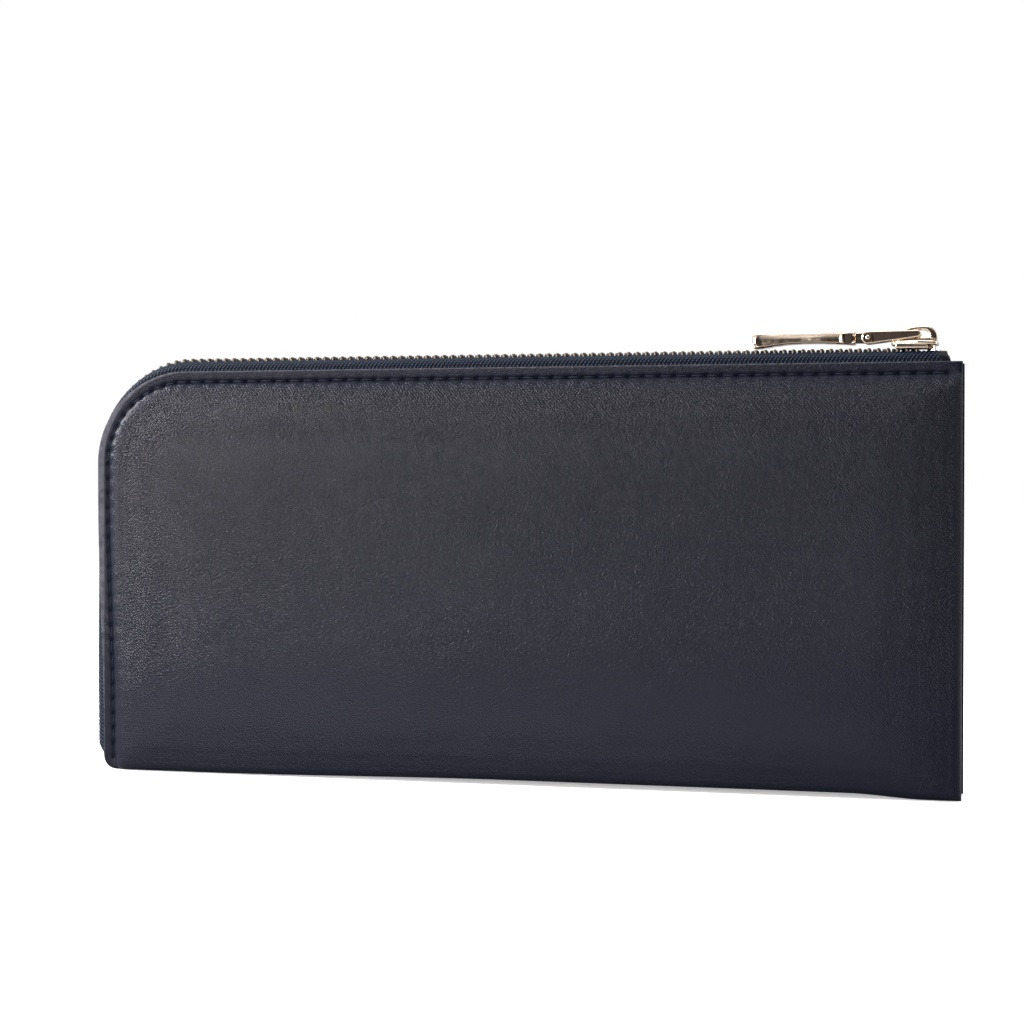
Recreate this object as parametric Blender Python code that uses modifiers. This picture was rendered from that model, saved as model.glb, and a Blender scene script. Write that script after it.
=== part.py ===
"""Long wallet with an L-shaped zip, standing on its folded bottom edge.

The frame is +X to the closed right side, -Y to the front and +Z up. The origin is the
middle of the bottom face. Two crowned leather panels meet at the folded bottom and are
joined by a folded gusset at the right. A zip runs along the top, round the upper left
corner and down the left side.
"""

import math

import bmesh
import bpy
from mathutils import Matrix, Vector

MM = 0.001

# Leather body
WIDTH = 195 * MM
HEIGHT = 92 * MM
CORNER = 21 * MM            # radius of the leather's upper left corner
BELLY = 9.0 * MM            # half thickness in the middle of the panels
ZIP_EDGE = 5.5 * MM         # half thickness along the zip
FOLD_EDGE = 5.5 * MM        # half width of the flat bottom
SIDE_EDGE = 5.0 * MM        # half width of the opening that the gusset closes
TURN = 2.2 * MM             # radius of the turned bottom and right edges
LEATHER = 1.1 * MM
LINING = 0.4 * MM
GAP = 0.3 * MM              # clearance between neighbouring pieces
STITCH_INSET = 2.4 * MM

# Zip
TOOTH_PITCH = 2.0 * MM
TOOTH_LINE = 2.3 * MM       # height of the teeth's middle over the leather edge
TOOTH_HEIGHT = 1.8 * MM
ZIP_STAND = TOOTH_LINE + TOOTH_HEIGHT / 2
TOOTH_THICK = 0.7 * MM
TOOTH_REACH = 1.8 * MM      # from the middle plane to the tape side
TOOTH_HOOK = 0.5 * MM       # from the middle plane to the far side, where the rows mesh
CORD = 0.4 * MM             # the tape's corded edge, which the teeth are clamped on
TAPE = 0.5 * MM
ZIP_FOOT = 2.6 * MM         # z of the zip's lower end at the left

# The outline. The zip stands out at the left, and the whole is centred on the origin.
LEFT = (ZIP_STAND - WIDTH) / 2
RIGHT = LEFT + WIDTH
CORNER_X = LEFT + CORNER
CORNER_Z = HEIGHT - CORNER
ZIP_RIGHT = RIGHT - 2.8 * MM

# Slider and pull
SLIDER_X = RIGHT - 10.1 * MM
SLIDER_LENGTH = 9.8 * MM
BAIL_HALF = 1.0 * MM
CROSSBAR = (SLIDER_X + 0.5 * MM, HEIGHT + 6.1 * MM)
RIVET = (SLIDER_X - 9.8 * MM, HEIGHT + 5.4 * MM)
BAR_LEFT = RIVET[0] - 24.6 * MM

# Coin pocket
COIN_ZIP_Z = 64 * MM
COIN_HALF = 80 * MM
COIN_WALL_Y = 4.25 * MM
COIN_SLIDER_X = 74.5 * MM
COIN_PIVOT = (COIN_SLIDER_X, 2.2 * MM, 63.5 * MM)

# Card slots
CARD_LEFT = LEFT + 14 * MM
CARD_RIGHT = RIGHT - 15 * MM
CARD_TOPS = (74 * MM, 62 * MM, 50 * MM, 38 * MM)

NAVY = (0.030, 0.034, 0.055)
TAPE_BLUE = (0.022, 0.036, 0.075)
GOLD = (0.80, 0.62, 0.45)
CLOTH = (0.045, 0.052, 0.085)


def clear_scene():
    for obj in list(bpy.data.objects):
        bpy.data.objects.remove(obj, do_unlink=True)


def new_collection(name):
    collection = bpy.data.collections.new(name)
    bpy.context.scene.collection.children.link(collection)
    return collection


def material(name, colour, roughness, metallic=0.0):
    made = bpy.data.materials.new(name)
    made.use_nodes = True
    shader = made.node_tree.nodes["Principled BSDF"]
    shader.inputs["Base Color"].default_value = (*colour, 1.0)
    shader.inputs["Roughness"].default_value = roughness
    shader.inputs["Metallic"].default_value = metallic
    return made


clear_scene()
WALLET = new_collection("long_wallet")
CUTTERS = new_collection("cutters")


def empty(name, location):
    """A joint's pivot. Pieces that move with the joint are its children."""
    pivot = bpy.data.objects.new(name, None)
    pivot.location = location
    WALLET.objects.link(pivot)
    return pivot


def add(name, mesh, finish, pivot=None, smooth=False):
    """Put a mesh drawn in world coordinates into the wallet, hung from its joint's pivot."""
    obj = bpy.data.objects.new(name, mesh)
    WALLET.objects.link(obj)
    mesh.materials.clear()
    mesh.materials.append(finish)
    if smooth:
        mesh.shade_smooth()
        mesh.set_sharp_from_angle(angle=math.radians(35))
    if pivot:
        mesh.transform(Matrix.Translation(-pivot.location))
        obj.parent = pivot
    return obj


def mesh_of(bm, name):
    bmesh.ops.recalc_face_normals(bm, faces=bm.faces)
    mesh = bpy.data.meshes.new(name)
    bm.to_mesh(mesh)
    bm.free()
    return mesh


def add_box(bm, low, high, turn=None):
    """A box between two corners. turn is a matrix that carries it from there to its place."""
    low, high = Vector(low), Vector(high)
    place = Matrix.Translation((low + high) / 2) @ Matrix.Diagonal((*(high - low), 1))
    bmesh.ops.create_cube(bm, size=1, matrix=(turn or Matrix()) @ place)


def boxes(name, corners):
    bm = bmesh.new()
    for low, high in corners:
        add_box(bm, low, high)
    return mesh_of(bm, name)


def outline_curve(loops):
    """A filled 2D curve from closed loops of points. A loop inside another one is a hole."""
    curve = bpy.data.curves.new("outline", "CURVE")
    curve.dimensions = "2D"
    curve.fill_mode = "BOTH"
    for points in loops:
        spline = curve.splines.new("POLY")
        spline.points.add(len(points) - 1)
        for point, (u, v) in zip(spline.points, points):
            point.co = (u, v, 0, 1)
        spline.use_cyclic_u = True
    return curve


PLANES = {
    "XY": Matrix(),
    "XZ": Matrix.Rotation(math.pi / 2, 4, "X"),
}


def plate(name, loops, plane, start, end):
    """A flat outline in the named plane, thick from start to end along the third axis."""
    curve = outline_curve(loops)
    curve.extrude = (end - start) / 2
    obj = bpy.data.objects.new("outline", curve)
    bpy.context.scene.collection.objects.link(obj)
    graph = bpy.context.evaluated_depsgraph_get()
    mesh = bpy.data.meshes.new_from_object(obj.evaluated_get(graph))
    bpy.data.objects.remove(obj, do_unlink=True)
    bpy.data.curves.remove(curve)
    bm = bmesh.new()
    bm.from_mesh(mesh)
    bpy.data.meshes.remove(mesh)
    bmesh.ops.remove_doubles(bm, verts=bm.verts, dist=0.00001)
    middle = (start + end) / 2
    shift = (0, 0, middle) if plane == "XY" else (0, middle, 0)
    bm.transform(Matrix.Translation(shift) @ PLANES[plane])
    return mesh_of(bm, name)


def arc(centre, radius, first, last, steps):
    """Points on an arc, angles in degrees."""
    points = []
    for i in range(steps + 1):
        angle = math.radians(first + (last - first) * i / steps)
        points.append((centre[0] + radius * math.cos(angle), centre[1] + radius * math.sin(angle)))
    return points


def rod(name, centre, radius, start, end, sides=16):
    """A round rod along Y, from start to end."""
    bm = bmesh.new()
    place = Matrix.Translation((centre[0], (start + end) / 2, centre[1]))
    bmesh.ops.create_cone(
        bm, cap_ends=True, segments=sides, radius1=radius, radius2=radius, depth=end - start,
        matrix=place @ Matrix.Rotation(math.pi / 2, 4, "X"),
    )
    return mesh_of(bm, name)


def helper(name, mesh, pivot):
    """A solid that is joined to another piece, or cut from it."""
    obj = bpy.data.objects.new(name, mesh)
    CUTTERS.objects.link(obj)
    if pivot:
        mesh.transform(Matrix.Translation(-pivot.location))
        obj.parent = pivot
    obj.hide_render = True
    obj.display_type = "WIRE"
    return obj


def combine(obj, mesh, operation, pivot=None):
    boolean = obj.modifiers.new(operation.lower(), "BOOLEAN")
    boolean.operation = operation
    boolean.object = helper(f"{obj.name}_{len(obj.modifiers)}", mesh, pivot)


def surface(name, columns, rows, place, is_hole=None):
    """An open grid whose points are put where place(column, row) says, less the cells that are holes."""
    bm = bmesh.new()
    bmesh.ops.create_grid(bm, x_segments=columns - 1, y_segments=rows - 1, size=1)

    def cell(point):
        return (point.x + 1) / 2 * (columns - 1), (point.y + 1) / 2 * (rows - 1)

    if is_hole:
        corners = [(face, cell(face.calc_center_median())) for face in bm.faces]
        holes = [face for face, (column, row) in corners if is_hole(int(column), int(row))]
        bmesh.ops.delete(bm, geom=holes, context="FACES")
    for vert in bm.verts:
        column, row = cell(vert.co)
        vert.co = place(round(column), round(row))
    return mesh_of(bm, name)


def face_outward(mesh, side):
    """Turn an open surface's faces to the side (-1 front, 1 back) that they are seen from."""
    total = sum(face.normal.y * face.area for face in mesh.polygons)
    if total * side < 0:
        mesh.flip_normals()


def thicken(obj, thickness, offset):
    solid = obj.modifiers.new("thickness", "SOLIDIFY")
    solid.thickness = thickness
    solid.offset = offset
    solid.use_even_offset = True


# The leather's form


def turned(distance, edge, rise):
    """Half thickness at a distance from a turned edge: a quarter round, then a slow swell."""
    if distance < TURN:
        return edge + math.sqrt(max(TURN**2 - (TURN - distance) ** 2, 0.0))
    return edge + TURN + (BELLY - edge - TURN) * (1 - math.exp(-(distance - TURN) / rise))


def sewn(distance):
    """Half thickness at a distance from the zip edge: flat to the stitches, then a puff."""
    puff = 2.2 * MM
    past = max(distance - STITCH_INSET, 0.0)
    swell = BELLY - ZIP_EDGE - puff
    return ZIP_EDGE + puff * (1 - math.exp(-past / (2.2 * MM))) + swell * (1 - math.exp(-past / (10 * MM)))


def zip_distance(x, z):
    """How far inside the zip side of the outline a point is."""
    if x < CORNER_X and z > CORNER_Z:
        return CORNER - math.hypot(CORNER_X - x, z - CORNER_Z)
    return min(HEIGHT - z, x - LEFT)


def half_thickness(x, z):
    """Half thickness of the closed wallet over a point of its outline."""
    short = (
        BELLY - sewn(zip_distance(x, z)),
        BELLY - turned(z, FOLD_EDGE, 6 * MM),
        BELLY - turned(RIGHT - x, SIDE_EDGE, 9 * MM),
    )
    return BELLY - sum(max(s, 0.0) ** 6 for s in short) ** (1 / 6)


def rounded(x, z, inset):
    """Carry a point of the square outline into the outline with its round corner."""
    radius = CORNER - inset
    a = (CORNER_X - x) / radius
    b = (z - CORNER_Z) / radius
    if a <= 0 or b <= 0:
        return x, z
    a, b = min(a, 1.0), min(b, 1.0)
    return (
        CORNER_X - radius * a * math.sqrt(1 - b * b / 2),
        CORNER_Z + radius * b * math.sqrt(1 - a * a / 2),
    )


def stations(low, high, from_low, from_high, middles):
    """Places across a panel: close together at its edges, even in the middle."""
    first, last = low + from_low[-1], high - from_high[-1]
    inner = [first + (last - first) * i / (middles + 1) for i in range(1, middles + 1)]
    return [low + d for d in from_low] + inner + [high - d for d in reversed(from_high)]


ZIP_STEPS = [0, STITCH_INSET, 3.6 * MM, 5.2 * MM, 8 * MM, 13 * MM]
TURN_STEPS = [0, 0.3 * MM, 1.1 * MM, TURN, 8 * MM]


def panel(name, side, finish, pivot=None):
    """One crowned leather panel. side is -1 for the front and 1 for the back."""
    xs = stations(LEFT, RIGHT, [*ZIP_STEPS, CORNER], TURN_STEPS, 4)
    zs = stations(0, HEIGHT, TURN_STEPS, [*ZIP_STEPS, CORNER], 1)

    def place(column, row):
        x, z = rounded(xs[column], zs[row], 0)
        return x, side * half_thickness(x, z), z

    mesh = surface(name, len(xs), len(zs), place)
    face_outward(mesh, side)
    obj = add(name, mesh, finish, pivot, smooth=True)
    thicken(obj, LEATHER, -1)
    return obj


def lining(name, side, finish, pivot=None):
    """The cloth inside a panel. Along the zip it steps in, to leave room for the tape."""
    edge = 1.0 * MM
    tape_depth, clear_depth = 6.5 * MM, 9.5 * MM
    inner_edge = 3.3 * MM
    zip_steps = [0, tape_depth - edge, clear_depth - edge, 14 * MM]
    xs = stations(LEFT + edge, RIGHT - 5 * MM, zip_steps, [0, 6 * MM], 4)
    zs = stations(3.2 * MM, HEIGHT - edge, [0, 4 * MM], zip_steps, 2)

    def place(column, row):
        x, z = rounded(xs[column], zs[row], edge)
        behind = half_thickness(x, z) - LEATHER - GAP
        share = (zip_distance(x, z) - tape_depth) / (clear_depth - tape_depth)
        share = min(max(share, 0.0), 1.0)
        return x, side * (inner_edge + (behind - inner_edge) * share), z

    mesh = surface(name, len(xs), len(zs), place)
    face_outward(mesh, side)
    thicken(add(name, mesh, finish, pivot), LINING, -1)


# The zip


def zip_point(s, height, start):
    """(x, z, turn) at a length s along the zip, height over the leather edge.

    s starts at x = start on the top edge and is measured at that height. turn is 0 on the
    top edge and a quarter turn on the left side.
    """
    radius = CORNER + height
    top = start - CORNER_X
    bend = radius * math.pi / 2
    if s < top:
        return start - s, HEIGHT + height, 0.0
    if s < top + bend:
        turn = (s - top) / radius
        return CORNER_X - radius * math.sin(turn), CORNER_Z + radius * math.cos(turn), turn
    return LEFT - height, CORNER_Z - (s - top - bend), math.pi / 2


def zip_length(height, start, foot):
    return start - CORNER_X + (CORNER + height) * math.pi / 2 + CORNER_Z - foot


def bend_station(column, bends, height, start, foot):
    """Lengths along the zip that split only its round corner, into the given number of bends."""
    if column == 0:
        return 0.0
    if column == bends + 2:
        return zip_length(height, start, foot)
    return start - CORNER_X + (CORNER + height) * math.pi / 2 * (column - 1) / bends


def tape(name, side, finish, pivot=None):
    """Half of the zip's woven tape: upright behind the leather, then bent in to the teeth."""
    profile = [(3.85, -6.0), (3.85, -2.0), (3.85, 0.9), (3.65, 1.6), (3.1, 2.1), (2.1, 2.3)]
    profile = [(y * MM, h * MM) for y, h in profile]
    bends = 10

    def place(column, row):
        y, height = profile[row]
        s = bend_station(column, bends, height, ZIP_RIGHT, ZIP_FOOT)
        x, z, _ = zip_point(s, height, ZIP_RIGHT)
        return x, side * y, z

    mesh = surface(name, bends + 3, len(profile), place)
    face_outward(mesh, side)
    thicken(add(name, mesh, finish, pivot), TAPE, 0)


def teeth(name, side, finish, pivot=None):
    """One row of teeth on the corded edge of its tape, half a pitch out of step with the other row."""
    start = SLIDER_X + 1.0 * MM
    first = TOOTH_PITCH * (0.25 if side < 0 else 0.75)
    length = zip_length(TOOTH_LINE, start, ZIP_FOOT + 2.0 * MM)
    count = int((length - first) / TOOTH_PITCH)
    across = (-TOOTH_HOOK, TOOTH_REACH - CORD, TOOTH_REACH)

    def place(column, row):
        tooth, end = divmod(column, 2)
        s = first + tooth * TOOTH_PITCH + (end - 0.5) * TOOTH_THICK
        x, z, _ = zip_point(s, TOOTH_LINE, start)
        return x, side * across[row], z

    def between_teeth(column, row):
        return column % 2 == 1 and row == 0

    mesh = surface(name, 2 * count, len(across), place, between_teeth)
    thicken(add(name, mesh, finish, pivot), TOOTH_HEIGHT, 0)


def stitching(name, side, finish, pivot=None):
    """The thread along the zip edge of a panel."""
    start = RIGHT - 2.0 * MM
    width, depth = 0.5 * MM, 0.35 * MM
    y = side * (ZIP_EDGE + GAP + depth / 2 + 0.05 * MM)
    bends = 10

    def place(column, row):
        height = -STITCH_INSET + (row - 0.5) * width
        s = bend_station(column, bends, height, start, 4 * MM)
        x, z, _ = zip_point(s, height, start)
        return x, y, z

    mesh = surface(name, bends + 3, 2, place)
    thicken(add(name, mesh, finish, pivot), depth, 0)


def zip_stops(gold, front):
    """A stop at the right end of each row, and one box across both rows at the foot."""
    low_z, high_z = HEIGHT + TOOTH_LINE - 0.9 * MM, HEIGHT + TOOTH_LINE + 0.9 * MM
    left = SLIDER_X + SLIDER_LENGTH / 2 + 0.4 * MM
    for name, side, pivot in (("top_stop_back", 1, None), ("top_stop_front", -1, front)):
        near, far = sorted((side * 0.4 * MM, side * TOOTH_REACH))
        mesh = boxes(name, [((left, near, low_z), (left + 1.4 * MM, far, high_z))])
        add(name, mesh, gold, pivot)
    outer = LEFT - TOOTH_LINE - 0.9 * MM
    foot = ((outer, -TOOTH_REACH, ZIP_FOOT), (outer + TOOTH_HEIGHT, TOOTH_REACH, ZIP_FOOT + 1.6 * MM))
    add("bottom_stop", boxes("bottom_stop", [foot]), gold)


# Slider and pull


def slider(gold, pivot):
    """Two plates joined by a post at the mouth end, with rims that fold down over the tape."""
    left, right = SLIDER_X - SLIDER_LENGTH / 2, SLIDER_X + SLIDER_LENGTH / 2
    base = HEIGHT

    def shield(mouth, tail):
        nose = 1.2 * MM
        return [
            (left, -tail + nose), (left + nose, -tail), (right - 3 * MM, -mouth), (right, -mouth + nose),
            (right, mouth - nose), (right - 3 * MM, mouth), (left + nose, tail), (left, tail - nose),
        ]

    top = plate("slider_body", [shield(3.7 * MM, 2.9 * MM)], "XY", base + 3.55 * MM, base + 4.45 * MM)
    body = add("slider_body", top, gold, pivot)
    lower = plate("lower", [shield(3.1 * MM, 2.6 * MM)], "XY", base + 0.2 * MM, base + 1.05 * MM)
    back, half = right - 1.0 * MM, 0.9 * MM
    post = [(right - 3.0 * MM, 0), (back, -half), (right - 0.6 * MM, 0), (back, half)]
    post = plate("post", [post], "XY", base + 0.7 * MM, base + 3.9 * MM)
    combine(body, lower, "UNION", pivot)
    combine(body, post, "UNION", pivot)
    for side in (-1, 1):
        near, far = sorted((side * 2.45 * MM, side * 2.85 * MM))
        rim = ((left + 1.3 * MM, near, base + 2.85 * MM), (right - 3.1 * MM, far, base + 4.0 * MM))
        combine(body, boxes("rim", [rim]), "UNION", pivot)
    soften(body, 0.12 * MM)

    outside = [(-3.8, 4.75), (4.6, 4.75)] + arc((2.5, 5.6), 2.1, 0, 90, 5)
    outside += [(0.6, 7.7), (-1.4, 7.45), (-3.1, 6.4)]
    hole = [(-0.7, 5.3), (2.8, 5.3)] + arc((1.8, 5.9), 1.0, 0, 90, 4) + arc((0.3, 5.9), 1.0, 90, 180, 4)
    loops = [[(SLIDER_X + x * MM, base + h * MM) for x, h in loop] for loop in (outside, hole)]
    obj = add("slider_bail", plate("slider_bail", loops, "XZ", -BAIL_HALF, BAIL_HALF), gold, pivot)
    soften(obj, 0.15 * MM)


def soften(obj, width):
    """Break the sharp edges of a metal piece."""
    bevel = obj.modifiers.new("edges", "BEVEL")
    bevel.width = width
    bevel.segments = 1
    bevel.limit_method = "ANGLE"
    bevel.angle_limit = math.radians(50)
    bevel.use_clamp_overlap = True


def pull(gold, link_pivot, bar_pivot):
    """A shackle through the bail, a rivet at its eye and a waisted bar on the rivet."""
    eye, tip = 1.35 * MM, 0.7 * MM
    cheek = arc(RIVET, eye, 80, 280, 8)
    cheek += [(SLIDER_X - 5.4 * MM, HEIGHT + 4.85 * MM)]
    cheek += arc(CROSSBAR, tip, -80, 80, 6)
    bore = arc(RIVET, 0.75 * MM, 0, 330, 11)
    cheeks = {side: sorted((side * 1.3 * MM, side * 2.1 * MM)) for side in (-1, 1)}
    link = add("pull_link", plate("pull_link", [cheek, bore], "XZ", *cheeks[-1]), gold, link_pivot)
    combine(link, plate("cheek", [cheek, bore], "XZ", *cheeks[1]), "UNION", link_pivot)
    combine(link, rod("crossbar", CROSSBAR, 0.6 * MM, -1.9 * MM, 1.9 * MM), "UNION", link_pivot)
    rivet = add("pull_rivet", rod("pull_rivet", RIVET, 0.55 * MM, -2.4 * MM, 2.4 * MM), gold, link_pivot)
    rivet.data.shade_smooth()
    rivet.data.set_sharp_from_angle(angle=math.radians(35))

    shoulder = RIVET[0] - 2.6 * MM
    bar = [(BAR_LEFT, 3.45), (BAR_LEFT, 6.6), (BAR_LEFT + 1.2 * MM, 6.8), (BAR_LEFT + 5 * MM, 6.6)]
    bar += [(BAR_LEFT + 13 * MM, 6.5), (BAR_LEFT + 18 * MM, 6.6), (shoulder, 6.8), (shoulder, 4.1)]
    bar += [(BAR_LEFT + 17 * MM, 4.6), (BAR_LEFT + 11 * MM, 4.7), (BAR_LEFT + 5 * MM, 4.3)]
    bar += [(BAR_LEFT + 1.2 * MM, 3.45)]
    outline = [(x, HEIGHT + h * MM) for x, h in bar]
    tongue = arc(RIVET, 1.2 * MM, 90, -90, 6)
    tongue += [(shoulder - 1 * MM, RIVET[1] - 1.0 * MM), (shoulder - 1 * MM, RIVET[1] + 1.0 * MM)]
    obj = add("pull_bar", plate("pull_bar", [outline], "XZ", -2.0 * MM, 2.0 * MM), gold, bar_pivot)
    combine(obj, plate("tongue", [tongue, bore], "XZ", -1.0 * MM, 1.0 * MM), "UNION", bar_pivot)
    soften(obj, 0.25 * MM)


# Inside


def gusset(finish):
    """A leather sheet folded inward like a V, which closes the right side."""
    mouth, apex = RIGHT - 0.6 * MM, RIGHT - 13.5 * MM
    wide, thick = SIDE_EDGE - 0.5 * MM, 0.9 * MM
    fold = [
        (mouth, -wide), (apex, -0.4 * MM), (apex, 0.4 * MM), (mouth, wide),
        (mouth, wide - thick), (apex + 3 * MM, 0), (mouth, thick - wide),
    ]
    add("side_gusset", plate("side_gusset", [fold], "XY", 1.8 * MM, 82 * MM), finish)


def bottom(leather, cloth):
    """The flat strip that the wallet stands on, and the lining over it."""
    half = FOLD_EDGE - 1.2 * MM
    strip = ((LEFT + 1.5 * MM, -half, 0), (RIGHT - 1.0 * MM, half, LEATHER))
    add("bottom_fold", boxes("bottom_fold", [strip]), leather)
    inner = (
        (LEFT + 6 * MM, -half, LEATHER + GAP),
        (RIGHT - 15 * MM, half, LEATHER + GAP + LINING),
    )
    add("bottom_lining", boxes("bottom_lining", [inner]), cloth)


def card_slots(leather, thread, pivot):
    """Stepped strips on the front lining, divided in the middle by a stitch line."""
    deepest, layer, step = -6.3 * MM, 0.5 * MM, 0.8 * MM
    for i, top in enumerate(CARD_TOPS):
        y = deepest + i * step
        name = f"card_slot_{i + 1}"
        strip = ((CARD_LEFT, y, 6 * MM), (CARD_RIGHT, y + layer, top))
        add(name, boxes(name, [strip]), leather, pivot)
    face = deepest + len(CARD_TOPS) * step
    middle = (CARD_LEFT + CARD_RIGHT) / 2
    seam = (
        (middle - 0.25 * MM, face, 8 * MM),
        (middle + 0.25 * MM, face + 0.15 * MM, CARD_TOPS[-1] - 1 * MM),
    )
    add("card_stitching", boxes("card_stitching", [seam]), thread, pivot)


def coin_pocket(cloth, leather, tape_cloth, gold, slide_pivot, pull_pivot):
    """A flat pocket on the back lining with its own coil zip along the top."""
    y0, y1 = COIN_WALL_Y - 0.25 * MM, COIN_WALL_Y + 0.25 * MM
    zc = COIN_ZIP_Z
    half = COIN_HALF
    wall = ((-half, y0, 6 * MM), (half, y1, zc - 6.3 * MM))
    strip = ((-half, y0, zc + 6.3 * MM), (half, y1, zc + 12 * MM))
    add("coin_wall", boxes("coin_wall", [wall]), cloth)
    add("coin_top_strip", boxes("coin_top_strip", [strip]), cloth)
    for name, low, high in (("lower", -8.3, -4.3), ("upper", 4.3, 8.3)):
        trim = ((-half, y0 - GAP - 0.3 * MM, zc + low * MM), (half, y0 - GAP, zc + high * MM))
        add(f"coin_trim_{name}", boxes("coin_trim", [trim]), leather)
    for name, low, high in (("lower", -6.0, -1.6), ("upper", 1.6, 6.0)):
        band = ((-half, y0, zc + low * MM), (half, y0 + 0.3 * MM, zc + high * MM))
        add(f"coin_tape_{name}", boxes("coin_tape", [band]), tape_cloth)
    coil_end = COIN_SLIDER_X + 1.0 * MM
    for name, low, high in (("lower", -1.3, -0.2), ("upper", 0.2, 1.3)):
        coil = ((3 * MM - half, 3.75 * MM, zc + low * MM), (coil_end, 4.55 * MM, zc + high * MM))
        add(f"coin_coil_{name}", boxes("coin_coil", [coil]), tape_cloth)
    for name, x in (("left", 1.4 * MM - half), ("right", COIN_SLIDER_X + 4.5 * MM)):
        stop = ((x, 3.7 * MM, zc - 1.3 * MM), (x + 1.2 * MM, 4.6 * MM, zc + 1.3 * MM))
        add(f"coin_stop_{name}", boxes("coin_stop", [stop]), gold)

    left, right = COIN_SLIDER_X - 4 * MM, COIN_SLIDER_X + 4 * MM
    front = ((left, 2.8 * MM, zc - 2.8 * MM), (right, 3.4 * MM, zc + 2.8 * MM))
    body = add("coin_slider", boxes("coin_slider", [front]), gold, slide_pivot)
    rear = ((left, 4.9 * MM, zc - 2.4 * MM), (right, 5.4 * MM, zc + 2.4 * MM))
    post = ((right - 2.2 * MM, 3.1 * MM, zc - 0.5 * MM), (right - 0.8 * MM, 5.1 * MM, zc + 0.5 * MM))
    combine(body, boxes("rear", [rear]), "UNION", slide_pivot)
    combine(body, boxes("post", [post]), "UNION", slide_pivot)
    for x in (-2.9 * MM, 2.3 * MM):
        ear = (
            (COIN_SLIDER_X + x, 1.9 * MM, COIN_PIVOT[2] - 0.6 * MM),
            (COIN_SLIDER_X + x + 0.6 * MM, 3.0 * MM, COIN_PIVOT[2] + 0.6 * MM),
        )
        combine(body, boxes("ear", [ear]), "UNION", slide_pivot)
    half_tab = 2.0 * MM
    tab = (
        (COIN_SLIDER_X - half_tab, COIN_PIVOT[1] - 0.25 * MM, COIN_PIVOT[2] - 10 * MM),
        (COIN_SLIDER_X + half_tab, COIN_PIVOT[1] + 0.25 * MM, COIN_PIVOT[2] + 0.4 * MM),
    )
    add("coin_pull", boxes("coin_pull", [tab]), gold, pull_pivot)


def build():
    leather = material("navy_leather", NAVY, 0.45)
    cloth = material("navy_lining", CLOTH, 0.9)
    woven = material("zip_tape", TAPE_BLUE, 0.85)
    gold = material("champagne_metal", GOLD, 0.2, 1.0)
    thread = material("thread", TAPE_BLUE, 0.7)

    front = empty("front_hinge", (0, -FOLD_EDGE, 0))
    slide = empty("slider_start", (SLIDER_X, 0, HEIGHT + TOOTH_LINE))
    link_pivot = empty("link_pivot", (CROSSBAR[0], 0, CROSSBAR[1]))
    bar_pivot = empty("bar_pivot", (RIVET[0], 0, RIVET[1]))
    coin_slide = empty("coin_slider_start", (COIN_SLIDER_X, COIN_WALL_Y, COIN_ZIP_Z))
    coin_pivot = empty("coin_pull_pivot", COIN_PIVOT)

    for name, side, pivot in (("front", -1, front), ("back", 1, None)):
        panel(f"{name}_panel", side, leather, pivot)
        lining(f"{name}_lining", side, cloth, pivot)
        tape(f"zip_tape_{name}", side, woven, pivot)
        teeth(f"zip_teeth_{name}", side, gold, pivot)
        stitching(f"stitching_{name}", side, thread, pivot)
    bottom(leather, cloth)
    gusset(leather)
    zip_stops(gold, front)
    slider(gold, slide)
    pull(gold, link_pivot, bar_pivot)
    card_slots(leather, thread, front)
    coin_pocket(cloth, leather, woven, gold, coin_slide, coin_pivot)


build()
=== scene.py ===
"""Looks of the long wallet: navy leather, a brass zip along the top and down the left side.

The frame is +X to the closed right side, -Y to the front and +Z up, in metres. A place on the
zip side is given by s, the length along the leather's edge from the right end, over the top,
round the corner and down the left side, and by its height over that edge or inset from it.
side is -1 for the front and 1 for the back.
"""

import math

import bmesh
import bpy
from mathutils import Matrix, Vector, noise


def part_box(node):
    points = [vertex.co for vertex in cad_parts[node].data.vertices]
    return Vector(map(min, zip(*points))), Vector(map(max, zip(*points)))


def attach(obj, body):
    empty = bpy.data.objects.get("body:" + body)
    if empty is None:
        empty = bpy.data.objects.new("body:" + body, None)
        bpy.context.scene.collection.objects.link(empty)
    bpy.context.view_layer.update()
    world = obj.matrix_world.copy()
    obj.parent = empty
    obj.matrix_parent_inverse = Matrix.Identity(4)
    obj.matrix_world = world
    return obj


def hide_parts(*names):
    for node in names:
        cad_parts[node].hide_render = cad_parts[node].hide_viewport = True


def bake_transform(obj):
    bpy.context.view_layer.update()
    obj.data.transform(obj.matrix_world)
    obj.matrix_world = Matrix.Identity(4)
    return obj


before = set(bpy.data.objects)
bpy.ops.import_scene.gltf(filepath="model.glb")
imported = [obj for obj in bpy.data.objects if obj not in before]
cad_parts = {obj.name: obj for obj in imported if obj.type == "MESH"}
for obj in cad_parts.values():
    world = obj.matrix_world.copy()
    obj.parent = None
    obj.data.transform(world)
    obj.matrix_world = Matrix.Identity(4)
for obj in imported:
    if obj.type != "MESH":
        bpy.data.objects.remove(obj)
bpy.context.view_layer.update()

MM = 0.001
SIDES = {"front": -1, "back": 1}

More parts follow.
